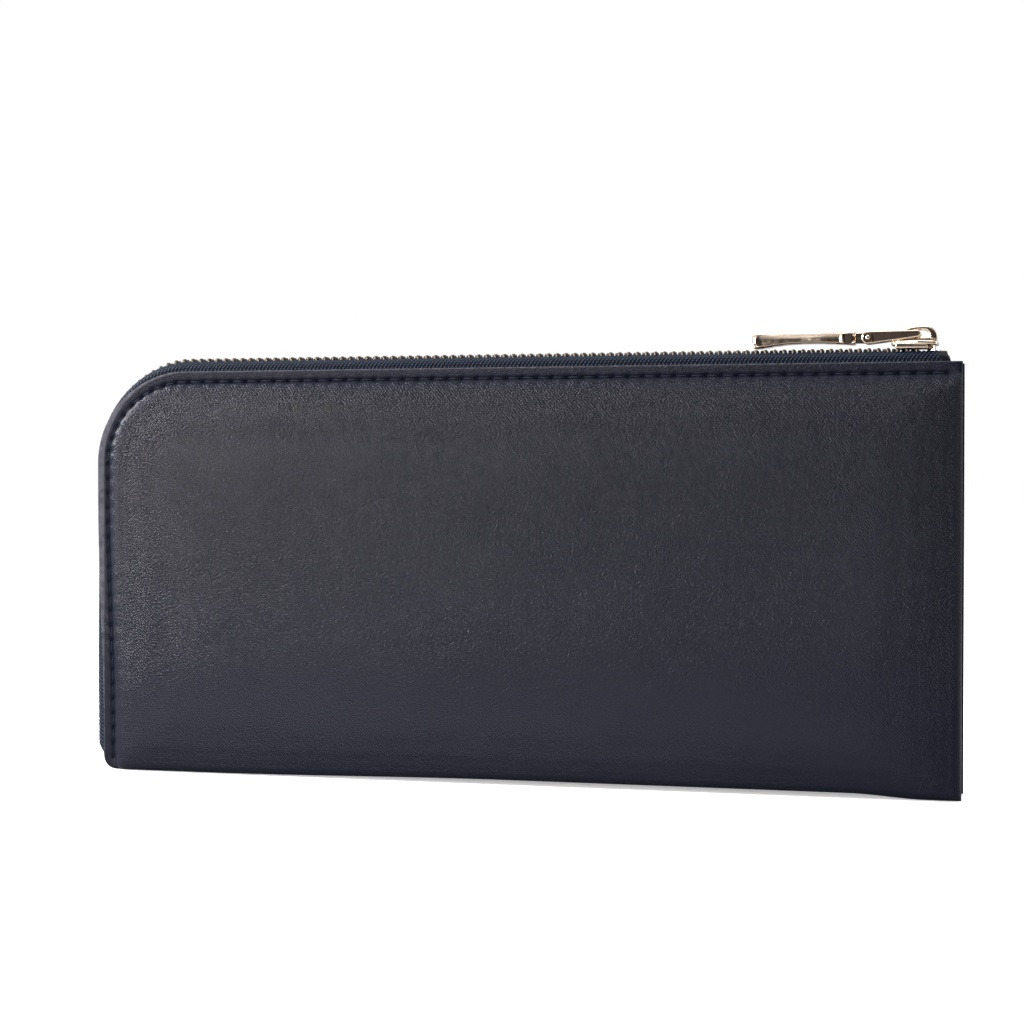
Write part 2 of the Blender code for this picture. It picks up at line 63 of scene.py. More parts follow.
# The leather body, from the CAD panels
panel_low, panel_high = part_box("front_panel")
LEFT, RIGHT, HEIGHT = panel_low.x, panel_high.x, panel_high.z
BELLY = -panel_low.y
CORNER = 21 * MM
ZIP_EDGE = 5.5 * MM
FOLD_EDGE = 5.5 * MM
SIDE_EDGE = 5.0 * MM
TURN = 2.2 * MM
LEATHER = 1.1 * MM
CORNER_X, CORNER_Z = LEFT + CORNER, HEIGHT - CORNER
TOP_LENGTH = RIGHT - CORNER_X
BEND_LENGTH = CORNER * math.pi / 2
EDGE_LENGTH = TOP_LENGTH + BEND_LENGTH + CORNER_Z
STITCH_INSET = 2.4 * MM
STITCH_PITCH = 3.4 * MM
STITCH_START = 3.0 * MM
PUFF = 2.2 * MM             # how far the leather swells right behind the stitches
ARCH = 0.85 * MM            # how far the bottom edge stands off the ground in the middle
FOOT_ROUND = 3.0 * MM       # radius of the lower left corner
LEFT_SWELL = 1.25 * MM      # how far the filled left side stands out past the plain outline

# The zip
TOOTH_PITCH = 2.0 * MM
TOOTH_LINE = 2.3 * MM
ZIP_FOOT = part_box("zip_tape_front")[0].z
ZIP_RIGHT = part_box("zip_tape_front")[1].x

# Slider and pull
slider_low, slider_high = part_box("slider_body")
SLIDER_X = (slider_low.x + slider_high.x) / 2
CROSSBAR = Vector((SLIDER_X + 0.5 * MM, 0, HEIGHT + 6.1 * MM))
RIVET = Vector((SLIDER_X - 9.8 * MM, 0, HEIGHT + 5.4 * MM))
BAR_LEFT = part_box("pull_bar")[0].x

# The slots that the pieces take their finish from
HIDE, THREAD, TAPE, CLOTH, METAL = "navy_leather", "thread", "zip_tape", "navy_lining", "champagne_metal"

UP = Vector((0, 0, 1))
ACROSS = Vector((0, 1, 0))
LENGTHWISE = Vector((1, 0, 0))


# Small helpers


def smooth(low, high, value):
    t = min(max((value - low) / (high - low), 0.0), 1.0)
    return t * t * (3 - 2 * t)


def bump(distance, width):
    return math.exp(-((distance / width) ** 2))


def finish_mesh(name, bm, finish, sharp=40):
    bmesh.ops.remove_doubles(bm, verts=bm.verts, dist=0.002 * MM)
    bmesh.ops.recalc_face_normals(bm, faces=bm.faces)
    mesh = bpy.data.meshes.new(name)
    bm.to_mesh(mesh)
    bm.free()
    mesh.materials.append(finish)
    mesh.shade_smooth()
    mesh.set_sharp_from_angle(angle=math.radians(sharp))
    obj = bpy.data.objects.new(name, mesh)
    bpy.context.scene.collection.objects.link(obj)
    return obj


def face_towards(obj, direction):
    """Turn an open surface so that its faces look in a direction."""
    total = sum(face.normal.dot(direction) * face.area for face in obj.data.polygons)
    if total < 0:
        obj.data.flip_normals()


def thicken(obj, thickness, outward, edge=0.0, sharp=40):
    """Give an open surface a thickness on its inner side and rounded edges."""
    face_towards(obj, Vector(outward))
    solid = obj.modifiers.new("thickness", "SOLIDIFY")
    solid.thickness = thickness
    solid.offset = -1
    solid.use_even_offset = True
    if edge:
        bevel = obj.modifiers.new("edges", "BEVEL")
        bevel.width = edge
        bevel.segments = 3
        bevel.limit_method = "ANGLE"
        bevel.angle_limit = math.radians(55)
    graph = bpy.context.evaluated_depsgraph_get()
    thick = bpy.data.meshes.new_from_object(obj.evaluated_get(graph))
    thin = obj.data
    obj.modifiers.clear()
    obj.data = thick
    bpy.data.meshes.remove(thin)
    thick.name = obj.name
    thick.shade_smooth()
    thick.set_sharp_from_angle(angle=math.radians(sharp))
    return obj


def block(bm, columns, rows, place):
    """A grid of four-sided faces over two lists of stations. A fourth number from place is its crown."""
    crown = bm.verts.layers.float.get("crown") or bm.verts.layers.float.new("crown")
    grid = []
    for column in columns:
        grid.append([])
        for row in rows:
            x, y, z, *value = place(column, row)
            vert = bm.verts.new((x, y, z))
            vert[crown] = value[0] if value else 1.0
            grid[-1].append(vert)
    for near, far in zip(grid, grid[1:]):
        for i in range(len(rows) - 1):
            bm.faces.new((near[i], far[i], far[i + 1], near[i + 1]))
    return grid


def loft(bm, rings, capped=True):
    """Skin a row of closed rings. Without caps the last ring meets the first."""
    rows = [[bm.verts.new(point) for point in ring] for ring in rings]
    if not capped:
        rows.append(rows[0])
    for near, far in zip(rows, rows[1:]):
        for i in range(len(near)):
            j = (i + 1) % len(near)
            bm.faces.new((near[i], near[j], far[j], far[i]))
    if capped:
        bm.faces.new(rows[0][::-1])
        bm.faces.new(rows[-1])


def oval(centre, u, v, power=2.0, count=12, phase=0.5):
    """A ring round centre with half axes u and v. A high power squares it off."""
    points = []
    for i in range(count):
        angle = 2 * math.pi * (i + phase) / count
        c, s = math.cos(angle), math.sin(angle)
        a = math.copysign(abs(c) ** (2 / power), c)
        b = math.copysign(abs(s) ** (2 / power), s)
        points.append(centre + u * a + v * b)
    return points


def stations(low, high, step):
    count = max(round((high - low) / step), 1)
    return [low + (high - low) * i / count for i in range(count + 1)]


def sheet(name, columns, rows, place, finish, thickness, outward, edge=0.0, sharp=80):
    """A piece made of one grid and given a thickness."""
    bm = bmesh.new()
    block(bm, columns, rows, place)
    obj = finish_mesh(name, bm, finish, sharp)
    return thicken(obj, thickness, outward, edge, sharp)


def mark_inset(obj, inset=None):
    """Store how many millimetres each point is from the zip edge, where the leather gets a painted highlight.
    Without inset all are far from it.
    """
    attribute = obj.data.attributes.new("inset", "FLOAT", "POINT")
    for item, vert in zip(attribute.data, obj.data.vertices):
        item.value = inset(vert.co) if inset else 20.0
    return obj


# The leather's form


def turned(distance, edge, rise):
    """Half thickness at a distance from a turned edge: a quarter round, then a slow swell."""
    if distance < TURN:
        return edge + math.sqrt(max(TURN**2 - (TURN - distance) ** 2, 0.0))
    return edge + TURN + (BELLY - edge - TURN) * (1 - math.exp(-(distance - TURN) / rise))


def sewn(distance):
    """Half thickness at a distance from the zip edge: flat to the stitches, then a puff."""
    past = max(distance - STITCH_INSET, 0.0)
    puff = PUFF * (1 - math.exp(-past / (2.2 * MM)))
    swell = (BELLY - ZIP_EDGE - PUFF) * (1 - math.exp(-past / (10 * MM)))
    return ZIP_EDGE + puff + swell


def zip_distance(x, z):
    """How far inside the zip side of the outline a point is."""
    if x < CORNER_X and z > CORNER_Z:
        return CORNER - math.hypot(CORNER_X - x, z - CORNER_Z)
    return min(HEIGHT - z, x - LEFT)


def half_thickness(x, z):
    """Half thickness of the closed wallet over a point of its outline."""
    short = (
        BELLY - sewn(zip_distance(x, z)),
        BELLY - turned(z, FOLD_EDGE, 6 * MM),
        BELLY - turned(RIGHT - x, SIDE_EDGE, 9 * MM),
    )
    return BELLY - sum(max(s, 0.0) ** 6 for s in short) ** (1 / 6)


def zip_path(s, height=0.0, start=RIGHT):
    """(x, z, turn) at a length s from x = start, measured at that height over the leather's edge."""
    radius = CORNER + height
    top = start - CORNER_X
    bend = radius * math.pi / 2
    if s < top:
        return start - s, HEIGHT + height, 0.0
    if s < top + bend:
        turn = (s - top) / radius
        return CORNER_X - radius * math.sin(turn), CORNER_Z + radius * math.cos(turn), turn
    return LEFT - height, CORNER_Z - (s - top - bend), math.pi / 2


def from_edge(s, height, start=RIGHT):
    """(x, z) at a height over the edge point at s, so that columns fan out round the corner."""
    x, z, turn = zip_path(s, 0.0, start)
    return x - height * math.sin(turn), z + height * math.cos(turn)


def settle(x, z):
    """Carry a point of the plain outline to the real one, which arches and has a round left foot."""
    u = (x - LEFT) / (RIGHT - LEFT)
    arch = ARCH * smooth(0.12, 0.5, u) * (1 - smooth(0.88, 0.965, u))
    drop = max(FOOT_ROUND - z, 0.0)
    tuck = FOOT_ROUND - math.sqrt(max(FOOT_ROUND**2 - drop**2, 0.0))
    tuck *= math.exp(-max(x - LEFT, 0.0) / (5 * MM))
    swell = LEFT_SWELL * math.exp(-max(x - LEFT, 0.0) / (25 * MM)) * smooth(10 * MM, 62 * MM, z)
    return x + tuck - swell, z + arch * math.exp(-z / (9 * MM))


def ease(turn, z):
    """How much of its height over the leather's edge the zip keeps. It is drawn in past the corner."""
    drawn_in = smooth(15 * MM, 60 * MM, z)
    return 1 + (0.18 * (1 - drawn_in) - 0.5 * drawn_in) * smooth(0.1, 1.3, turn)


def waves(x, z, side):
    """The slow unevenness of soft leather over what it covers."""
    inside = smooth(0, 9 * MM, min(zip_distance(x, z), z, RIGHT - x))
    place = Vector((x, 7 * side * MM, z))
    slow = noise.noise(place / (26 * MM)) * 0.16 * MM + noise.noise(place / (8 * MM)) * 0.035 * MM
    return slow * inside


def foot_wrinkles(x, z):
    """Small creases in the turned lower right corner."""
    dx, dz = RIGHT - x, z
    reach = bump(math.hypot(dx - 5 * MM, dz - 4.5 * MM), 4.5 * MM)
    stray = noise.noise(Vector((x, 0, z)) / (3 * MM))
    return -0.22 * MM * reach * math.sin((dx * 0.9 + dz * 1.3) / (0.75 * MM) + stray)


def pucker(s, inset):
    """What the sewing does to the leather: a groove, holes and ripples that run inward."""
    step = (s - STITCH_START) / STITCH_PITCH
    near_hole = (step - round(step)) * STITCH_PITCH
    ripple = -math.cos(2 * math.pi * step)
    past = inset - STITCH_INSET
    uneven = 1 + 0.5 * noise.noise(Vector((s / (5 * MM), 0, 3)))
    fall = math.exp(-past / (1.5 * MM)) if past > 0 else math.exp(past / (0.7 * MM)) * 0.35
    relief = 0.22 * MM * ripple * fall * uneven * smooth(0, 0.5 * MM, abs(past))
    relief -= 0.22 * MM * bump(past, 0.42 * MM)
    relief += 0.30 * MM * smooth(0, STITCH_INSET, -past)
    relief -= 0.40 * MM * bump(past, 0.40 * MM) * bump(near_hole, 0.42 * MM)
    return relief


FINE_INSETS = [d * MM for d in (0, 0.4, 0.8, 1.2, 1.6, 1.85, 2.05, 2.2, 2.4, 2.6, 2.75, 2.95, 3.2, 3.5,
                                3.9, 4.4, 5.0, 5.8, 6.8, 8.0)]
COARSE_INSETS = [d * MM for d in (9.6, 11.2, 13, 15, 17, 19, 21)]


def edge_stations():
    """Stations down the zip edge: coarse ones, and fine ones between them for the puckers."""
    round_end = [TURN * (1 - math.cos(math.radians(a))) for a in range(0, 91, 15)]
    cell = STITCH_PITCH / 2
    coarse = round_end + stations(TURN, TOP_LENGTH, cell)[1:]
    coarse += stations(TOP_LENGTH, TOP_LENGTH + BEND_LENGTH, cell)[1:]
    coarse += stations(TOP_LENGTH + BEND_LENGTH, EDGE_LENGTH - TURN, cell)[1:]
    coarse += [EDGE_LENGTH - d for d in reversed(round_end[:-1])]
    fine = []
    for near, far in zip(coarse, coarse[1:]):
        parts = 4 if far - near > cell * 0.6 else 1
        fine += [near + (far - near) * i / parts for i in range(parts)]
    return coarse, fine + [coarse[-1]]


def leather_panel(name, finish):
    """A crowned leather panel with its sewn zip edge and its turned right and bottom edges."""
    side = SIDES[name]
    coarse, fine = edge_stations()
    bm = bmesh.new()

    def place(x, z, relief=0.0):
        depth = half_thickness(x, z) + waves(x, z, side) + relief
        if side < 0:
            depth += foot_wrinkles(x, z)
        x, z = settle(x, z)
        return x, side * depth, z

    def in_band(s, inset):
        x, z = from_edge(s, -inset)
        ends = smooth(0, 4 * MM, min(s, EDGE_LENGTH - s))
        return place(x, z, pucker(s, inset) * ends)

    band = block(bm, fine, FINE_INSETS, in_band)
    inner = block(bm, coarse, COARSE_INSETS, in_band)
    at_coarse = [fine.index(s) for s in coarse]
    for i, (first, last) in enumerate(zip(at_coarse, at_coarse[1:])):
        edge = [column[-1] for column in band[first:last + 1]]
        bm.faces.new([inner[i + 1][0], inner[i][0], *edge])
    bend_end = TOP_LENGTH + BEND_LENGTH
    across = [RIGHT - s for s in coarse if s < TOP_LENGTH + MM / 10]
    upward = [CORNER_Z - (s - bend_end) for s in coarse if s > bend_end - MM / 10]
    block(bm, across, upward, place)
    bmesh.ops.remove_doubles(bm, verts=bm.verts, dist=0.005 * MM)
    obj = finish_mesh(f"leather_{name}", bm, finish, 60)
    thicken(obj, LEATHER, (0, side, 0), 0.3 * MM, 60)
    return mark_inset(obj, lambda p: zip_distance(p.x, p.z) / MM)


def leather_bottom(finish):
    """The strip between the panels that the wallet stands on."""

    def place(x, y):
        x, z = settle(x, 0)
        return x, y, z

    columns = stations(LEFT + 1.6 * MM, RIGHT - 1.2 * MM, 2 * MM)
    rows = stations(-FOLD_EDGE, FOLD_EDGE, 1 * MM)
    return mark_inset(sheet("leather_bottom", columns, rows, place, finish, LEATHER, -UP, 0.2 * MM, 40))


def leather_gusset(finish):
    """The sheet folded inward like a V that closes the right side."""
    mouth, apex = RIGHT - 0.9 * MM, RIGHT - 13.5 * MM
    half = SIDE_EDGE - 0.6 * MM

    def place(u, z):
        share = abs(u)
        bulge = 0.5 * MM * math.sin(math.pi * share)
        x = apex + (mouth - apex) * share**0.92
        y = math.copysign(0.35 * MM + (half - 0.35 * MM) * share + bulge, u) if u else 0.0
        crease = 0.12 * MM * noise.noise(Vector((u * 2, z / (9 * MM), 5)))
        return x + crease, y + crease, z

    columns, rows = stations(-1, 1, 1 / 14), stations(1.9 * MM, 82 * MM, 1.6 * MM)
    folded = sheet("leather_gusset", columns, rows, place, finish, 0.85 * MM, LENGTHWISE, 0.2 * MM, 60)
    return mark_inset(folded)


# Thread


def stitch(bm, start, end, up, radius=0.23 * MM, rise=0.16 * MM):
    """One stitch of two-ply thread between its holes, arched in the direction up."""
    start, end, up = Vector(start), Vector(end), Vector(up)
    along = (end - start).normalized()
    across = along.cross(up).normalized()
    rings = []
    for i in range(9):
        t = i / 8
        lift = rise * math.sin(math.pi * t) - 0.30 * MM * (2 * t - 1) ** 6
        size = radius * (1 - 0.35 * (2 * t - 1) ** 4)
        centre = start.lerp(end, t) + up * lift
        ring = []
        for k in range(10):
            angle = 2 * math.pi * k / 10
            ply = size * (0.84 + 0.18 * math.cos(2 * (angle - 5.2 * t)))
            ring.append(centre + (across * math.cos(angle) + up * math.sin(angle)) * ply)
        rings.append(ring)
    loft(bm, rings)


def zip_stitches(name, finish):
    side = SIDES[name]
    bm = bmesh.new()
    count = int((EDGE_LENGTH - STITCH_START - 4 * MM) / STITCH_PITCH)
    half = STITCH_PITCH / 2 - 0.35 * MM
    for i in range(count):
        middle = STITCH_START + (i + 0.5) * STITCH_PITCH
        ends = []
        for s in (middle - half, middle + half):
            x, z = settle(*from_edge(s, -STITCH_INSET))
            ends.append((x, side * (ZIP_EDGE - 0.10 * MM), z))
        stitch(bm, *ends, (0, side, 0))
    return finish_mesh(f"stitches_{name}", bm, finish, 80)


# The zip


TAPE_SIDE = 3.85 * MM       # from the middle plane to the tape's upright part
TAPE_TOP = 2.25 * MM        # height of its edge, beside the teeth
TAPE_INNER = 1.75 * MM      # from the middle plane to that edge
TAPE_UPRIGHT = 0.9 * MM     # height at which it starts to roll in
ROLL = 0.56                 # length of the roll for each radian, as a share of its reach and rise together


def tape_section(w, inner):
    """(y, height, normal y, normal height) at a length w of tape, up from the leather's edge and inward."""
    if w < TAPE_UPRIGHT:
        return TAPE_SIDE, w, 1.0, 0.0
    reach, rise = TAPE_SIDE - inner, TAPE_TOP - TAPE_UPRIGHT
    angle = min((w - TAPE_UPRIGHT) / ((reach + rise) * ROLL), math.pi / 2)
    c, s = math.cos(angle), math.sin(angle)
    return inner + reach * c, TAPE_UPRIGHT + rise * s, c, s


TAPE_LENGTH = TAPE_UPRIGHT + (TAPE_SIDE - TAPE_INNER + TAPE_TOP - TAPE_UPRIGHT) * ROLL * math.pi / 2
WEAVE = 0.66 * MM           # height of a row of yarn
BEAD = 0.88 * MM            # length of one yarn in the row
WEAVE_RELIEF = 0.22 * MM


def weave(s, w):
    """Height, 0 to 1, of the twill: rows of short yarns, each row stepped along from the last."""
    row = w / WEAVE
    number = math.floor(row)
    across = row - number
    lean = 0.30 * (across - 0.5)
    yarn = 0.5 + 0.5 * math.cos(2 * math.pi * (s / BEAD + 0.38 * number + lean))
    ridge = math.sin(math.pi * across)
    return yarn**1.4 * ridge**0.6


def zip_tape(name, finish):
    """Half of the woven tape: upright behind the leather, rolled in to a cord at the teeth."""
    side = SIDES[name]
    start = ZIP_RIGHT
    length = start - CORNER_X + BEND_LENGTH + CORNER_Z - ZIP_FOOT
    end_fold, end_round = 2.0 * MM, 1.6 * MM

    def place(s, w):
        folded = 1 - smooth(end_fold - 0.5 * MM, end_fold, s)
        inner = TAPE_INNER * (1 - folded) + 0.25 * MM * folded
        y, height, ny, nh = tape_section(w, inner)
        cord = 0.10 * MM * bump(w - TAPE_LENGTH + 0.45 * MM, 0.4 * MM)
        crown = weave(s, w) * (1 - folded) + 0.1 * folded
        relief = (WEAVE_RELIEF * crown + cord) * (1 - folded) + 0.10 * MM * folded
        y += ny * relief
        height += nh * relief
        if height > 0:
            _, z, turn = zip_path(s, 0.0, start)
            height *= ease(turn, z)
            height *= 0.25 + 0.75 * smooth(ZIP_FOOT - 1.0 * MM, 6 * MM, z)
            drop = max(1 - s / end_round, 0.0)
            height *= 1 - 0.75 * (1 - math.sqrt(max(1 - drop**2, 0.0)))
        x, z = from_edge(s, height, start)
        x, z = settle(x, z)
        return x, side * y, z, crown

    rows = [-6 * MM, -3 * MM, -1.0 * MM] + stations(-0.6 * MM, TAPE_LENGTH, WEAVE / 5)
    columns = stations(0, length, BEAD / 5)
    return sheet(f"tape_{name}", columns, rows, place, finish, 0.4 * MM, ACROSS * side, sharp=180)


# The tooth's sections from head to legs, in millimetres: distance from the middle plane, half width and
# half height
TOOTH = (
    (-0.62, 0.16, 0.34), (-0.50, 0.33, 0.62), (-0.15, 0.40, 0.80), (0.35, 0.35, 0.78), (0.80, 0.30, 0.74),
    (1.25, 0.42, 0.86), (1.95, 0.45, 0.88), (2.28, 0.38, 0.78), (2.42, 0.20, 0.52),
)


def tooth(bm, s, side):
    """One cast tooth: legs clamped on the cord, a waist and a rounded head past the middle."""
    x, z, turn = zip_path(s, TOOTH_LINE, SLIDER_X + 1.0 * MM)
    drop = TOOTH_LINE * (1 - ease(turn, z)) + 0.5 * MM * smooth(0.05, 0.6, turn)
    x, z = settle(x + drop * math.sin(turn), z - drop * math.cos(turn))
    centre = Vector((x, 0, z))
    along = Vector((-math.cos(turn), 0, -math.sin(turn)))
    out = Vector((-math.sin(turn), 0, math.cos(turn)))
    rings = []
    for y, half_s, half_h in TOOTH:
        middle = centre + ACROSS * side * y * MM
        rings.append(oval(middle, along * half_s * MM, out * half_h * MM, 3.2, 12))
    loft(bm, rings)


def zip_teeth(name, finish):
    side = SIDES[name]
    bm = bmesh.new()
    start = SLIDER_X + 1.0 * MM
    radius = CORNER + TOOTH_LINE
    length = start - CORNER_X + radius * math.pi / 2 + CORNER_Z - ZIP_FOOT - 2.0 * MM
    first = TOOTH_PITCH * (0.25 if side < 0 else 0.75)
    for i in range(int((length - first) / TOOTH_PITCH)):
        tooth(bm, first + i * TOOTH_PITCH, side)
    return finish_mesh(f"teeth_{name}", bm, finish, 50)


# Metal pieces


def bar_along_x(bm, profile, power, count):
    """A solid through sections given as (x, half width in y, lowest z, highest z)."""
    rings = []
    for x, half, low, high in profile:
        centre = Vector((x, 0, (low + high) / 2))
        rings.append(oval(centre, ACROSS * half, UP * (high - low) / 2, power, count))
    loft(bm, rings)


def pillow(bm, low, high, edge, power):
    """A block with rounded ends and edges between two corners."""
    low, high = Vector(low), Vector(high)
    size = high - low
    rounding = 2 * edge / min(size.y, size.z)
    sections = []
    for t in (0.0, 0.13, 0.5, 0.87, 1.0):
        share = 1 - (1 - math.sqrt(1 - (1 - t) ** 2)) * rounding
        sections.append((-size.x / 2 + edge * t, max(share, 0.2)))
    sections += [(-x, share) for x, share in reversed(sections)]
    rings = []
    for x, share in sections:
        centre = (low + high) / 2 + LENGTHWISE * x
        rings.append(oval(centre, ACROSS * size.y / 2 * share, UP * size.z / 2 * share, power, 16))
    loft(bm, rings)


def turned_rod(bm, centre, profile, count):
    """A round pin across the wallet, through sections given as (y, radius) in millimetres."""
    rings = []
    for y, radius in profile:
        rings.append(oval(centre + ACROSS * y * MM, LENGTHWISE * radius * MM, UP * radius * MM, 2, count))
    loft(bm, rings)


def inset_loop(loop, distance):
    """A closed loop of 2D points moved inward by a distance. The loop runs anticlockwise."""
    moved = []
    for i, point in enumerate(loop):
        before, after = loop[i - 1], loop[(i + 1) % len(loop)]
        a, b = (point - before).normalized(), (after - point).normalized()
        normal = Vector((-(a.y + b.y), a.x + b.x)).normalized()
        moved.append(point + normal * distance / max(normal.dot(Vector((-a.y, a.x))), 0.5))
    return moved


def arc(centre, radius, first, last, steps):
    """2D points on an arc, angles in degrees."""
    angles = [math.radians(first + (last - first) * i / steps) for i in range(steps + 1)]
    return [Vector((centre[0] + radius * math.cos(a), centre[1] + radius * math.sin(a))) for a in angles]


def stack(bm, loop, levels, to_space):
    """A plate built of rings of one loop, each given as (inset, level)."""
    loft(bm, [[to_space(p.x, p.y, level) for p in inset_loop(loop, inset)] for inset, level in levels])


def side_plate(bm, loop, levels, side=1):
    """A stack of a loop drawn in x and z, with its levels in millimetres out from the middle plane."""
    levels = [(inset * MM, side * y * MM) for inset, y in levels]
    stack(bm, loop, levels, lambda x, z, y: Vector((x, y, z)))


def resampled(loop, count):
    """The same closed outline with evenly spaced points."""
    ends = loop + [loop[0]]
    lengths = [(b - a).length for a, b in zip(ends, ends[1:])]
    total = sum(lengths)
    points, travelled, i = [], 0.0, 0
    for k in range(count):
        target = total * k / count
        while travelled + lengths[i] < target:
            travelled += lengths[i]
            i += 1
        points.append(ends[i].lerp(ends[i + 1], (target - travelled) / lengths[i]))
    return points


def slider_shell(finish):
    """Crowned top plate, lower plate, the post between them and the rims over the tape."""
    left, right = slider_low.x, slider_high.x
    bm = bmesh.new()

    def plate(low, high, mouth, tail, crown):
        length = right - left
        profile = []
        for t in (0, 0.012, 0.04, 0.09, 0.16, 0.3, 0.45, 0.6, 0.74, 0.84, 0.91, 0.96, 0.988, 1):
            shoulder = math.sqrt(max(1 - (max(0.16 - t, t - 0.84, 0) / 0.16) ** 2, 0.0))
            nose = math.sqrt(max(1 - (max(0.04 - t, t - 0.96, 0) / 0.04) ** 2, 0.0))
            width = (tail + (mouth - tail) * smooth(0.15, 0.75, t)) * (0.55 + 0.45 * shoulder)
            middle, half = (low + high) / 2, (high - low) / 2 * (0.45 + 0.55 * nose)
            rise = crown * math.sin(math.pi * t)
            profile.append((left + length * t, width, middle - half, middle + half + rise))
        bar_along_x(bm, profile, 5, 28)

    plate(HEIGHT + 3.55 * MM, HEIGHT + 4.45 * MM, 3.7 * MM, 2.9 * MM, 0.3 * MM)
    plate(HEIGHT + 0.2 * MM, HEIGHT + 1.05 * MM, 3.1 * MM, 2.6 * MM, 0.0)
    post = ((-2.4, 0), (-1.5, -0.75), (-0.9, -0.9), (-0.6, 0), (-0.9, 0.9), (-1.5, 0.75))
    levels = ((0, HEIGHT + 0.9 * MM), (0, HEIGHT + 3.7 * MM))
    stack(bm, [Vector(p) * MM for p in post], levels, lambda x, y, level: Vector((right + x, y, level)))
    for side in SIDES.values():
        middle, half = side * 2.85 * MM, 0.28 * MM
        low = (left + 0.9 * MM, middle - half, HEIGHT + 2.95 * MM)
        high = (right - 2.2 * MM, middle + half, HEIGHT + 4.1 * MM)
        pillow(bm, low, high, 0.25 * MM, 4)
    return finish_mesh("slider_shell", bm, finish, 50)


def slider_bail(finish):
    """The loop on the slider that the link hangs from."""
    half, round_edge = 1.0 * MM, 0.22 * MM
    slope = ((1.4, 7.73), (0.3, 7.68), (-0.9, 7.5), (-2.0, 7.12), (-2.9, 6.5), (-3.5, 5.6), (-3.8, 4.6))
    outer = [Vector((4.6, 4.6)), Vector((4.6, 5.6))] + arc((2.45, 5.6), 2.1, 0, 90, 8)[1:]
    outer += [Vector(point) for point in slope]
    hole = [Vector((2.8, 5.3))] + arc((1.8, 5.9), 1.0, 0, 90, 5) + arc((0.3, 5.9), 1.0, 90, 180, 5)
    hole += [Vector((-0.7, 5.3))]
    count = 56
    outer, hole = (resampled([p * MM for p in loop], count) for loop in (outer, hole))
    middle = Vector((1.05, 6.1)) * MM

    def bearing(point):
        return math.atan2(point.y - middle.y, point.x - middle.x)

    outer, hole = sorted(outer, key=bearing), sorted(hole, key=bearing)
    rings = []
    for out, inn in zip(outer, hole):
        step = (inn - out).normalized() * round_edge
        section = (
            (out, -half + round_edge), (out, half - round_edge), (out + step * 0.3, half - round_edge * 0.3),
            (out + step, half), (inn - step, half), (inn - step * 0.3, half - round_edge * 0.3),
            (inn, half - round_edge), (inn, -half + round_edge), (inn - step * 0.3, -half + round_edge * 0.3),
            (inn - step, -half), (out + step, -half), (out + step * 0.3, -half + round_edge * 0.3),
        )
        rings.append([Vector((SLIDER_X + p.x, y, HEIGHT + p.y)) for p, y in section])
    bm = bmesh.new()
    loft(bm, rings, capped=False)
    return finish_mesh("slider_bail_loop", bm, finish, 50)


def darken(obj, shade, chosen):
    """Give the sunk faces that chosen picks by their middle a near-black metal: painted shade in the recess.
    """
    obj.data.materials.append(shade)
    for face in obj.data.polygons:
        if abs(face.normal.y) > 0.3 and chosen(face.center):
            face.material_index = 1


def pull_link(finish, shade):
    """A shackle: two tapered cheeks with a sunk panel, joined by the crossbar through the bail."""
    eye, tip = 1.35 * MM, 0.75 * MM
    rivet, bar = Vector((RIVET.x, RIVET.z)), Vector((CROSSBAR.x, CROSSBAR.z))
    loop = resampled(arc(bar, tip, -84, 84, 8) + arc(rivet, eye, 84, 276, 18), 64)
    outside = ((0.06, 2.04), (0.15, 2.1), (0.30, 2.1), (0.36, 2.02), (0.40, 1.78))
    cheek = ((0.12, 1.30), (0, 1.42), (0, 1.92), *outside)
    bm = bmesh.new()
    for side in SIDES.values():
        side_plate(bm, loop, cheek, side)
        collar = []
        for i in range(28):
            angle = 2 * math.pi * i / 28
            outward = Vector((math.cos(angle), 0, math.sin(angle)))
            middle = RIVET + outward * 0.93 * MM + ACROSS * side * 1.93 * MM
            collar.append(oval(middle, outward * 0.17 * MM, ACROSS * 0.22 * MM, 2, 8))
        loft(bm, collar, capped=False)
    crossbar = ((-1.9, 0.5), (-1.4, 0.62), (-1, 0.55), (1, 0.55), (1.4, 0.62), (1.9, 0.5))
    turned_rod(bm, CROSSBAR, crossbar, 20)
    obj = finish_mesh("pull_shackle", bm, finish, 45)
    darken(obj, shade, lambda p: abs(abs(p.y) - 1.84 * MM) < 0.08 * MM)
    return obj


def pull_rivet(finish):
    """The pin through the eye, with a domed head on each cheek."""
    head = ((2.0, 0.55), (2.2, 0.55), (2.36, 0.46), (2.44, 0.30), (2.46, 0.12))
    bm = bmesh.new()
    turned_rod(bm, RIVET, [(-y, radius) for y, radius in reversed(head)] + [(0, 0.5), *head], 24)
    return finish_mesh("pull_rivet_pin", bm, finish, 60)


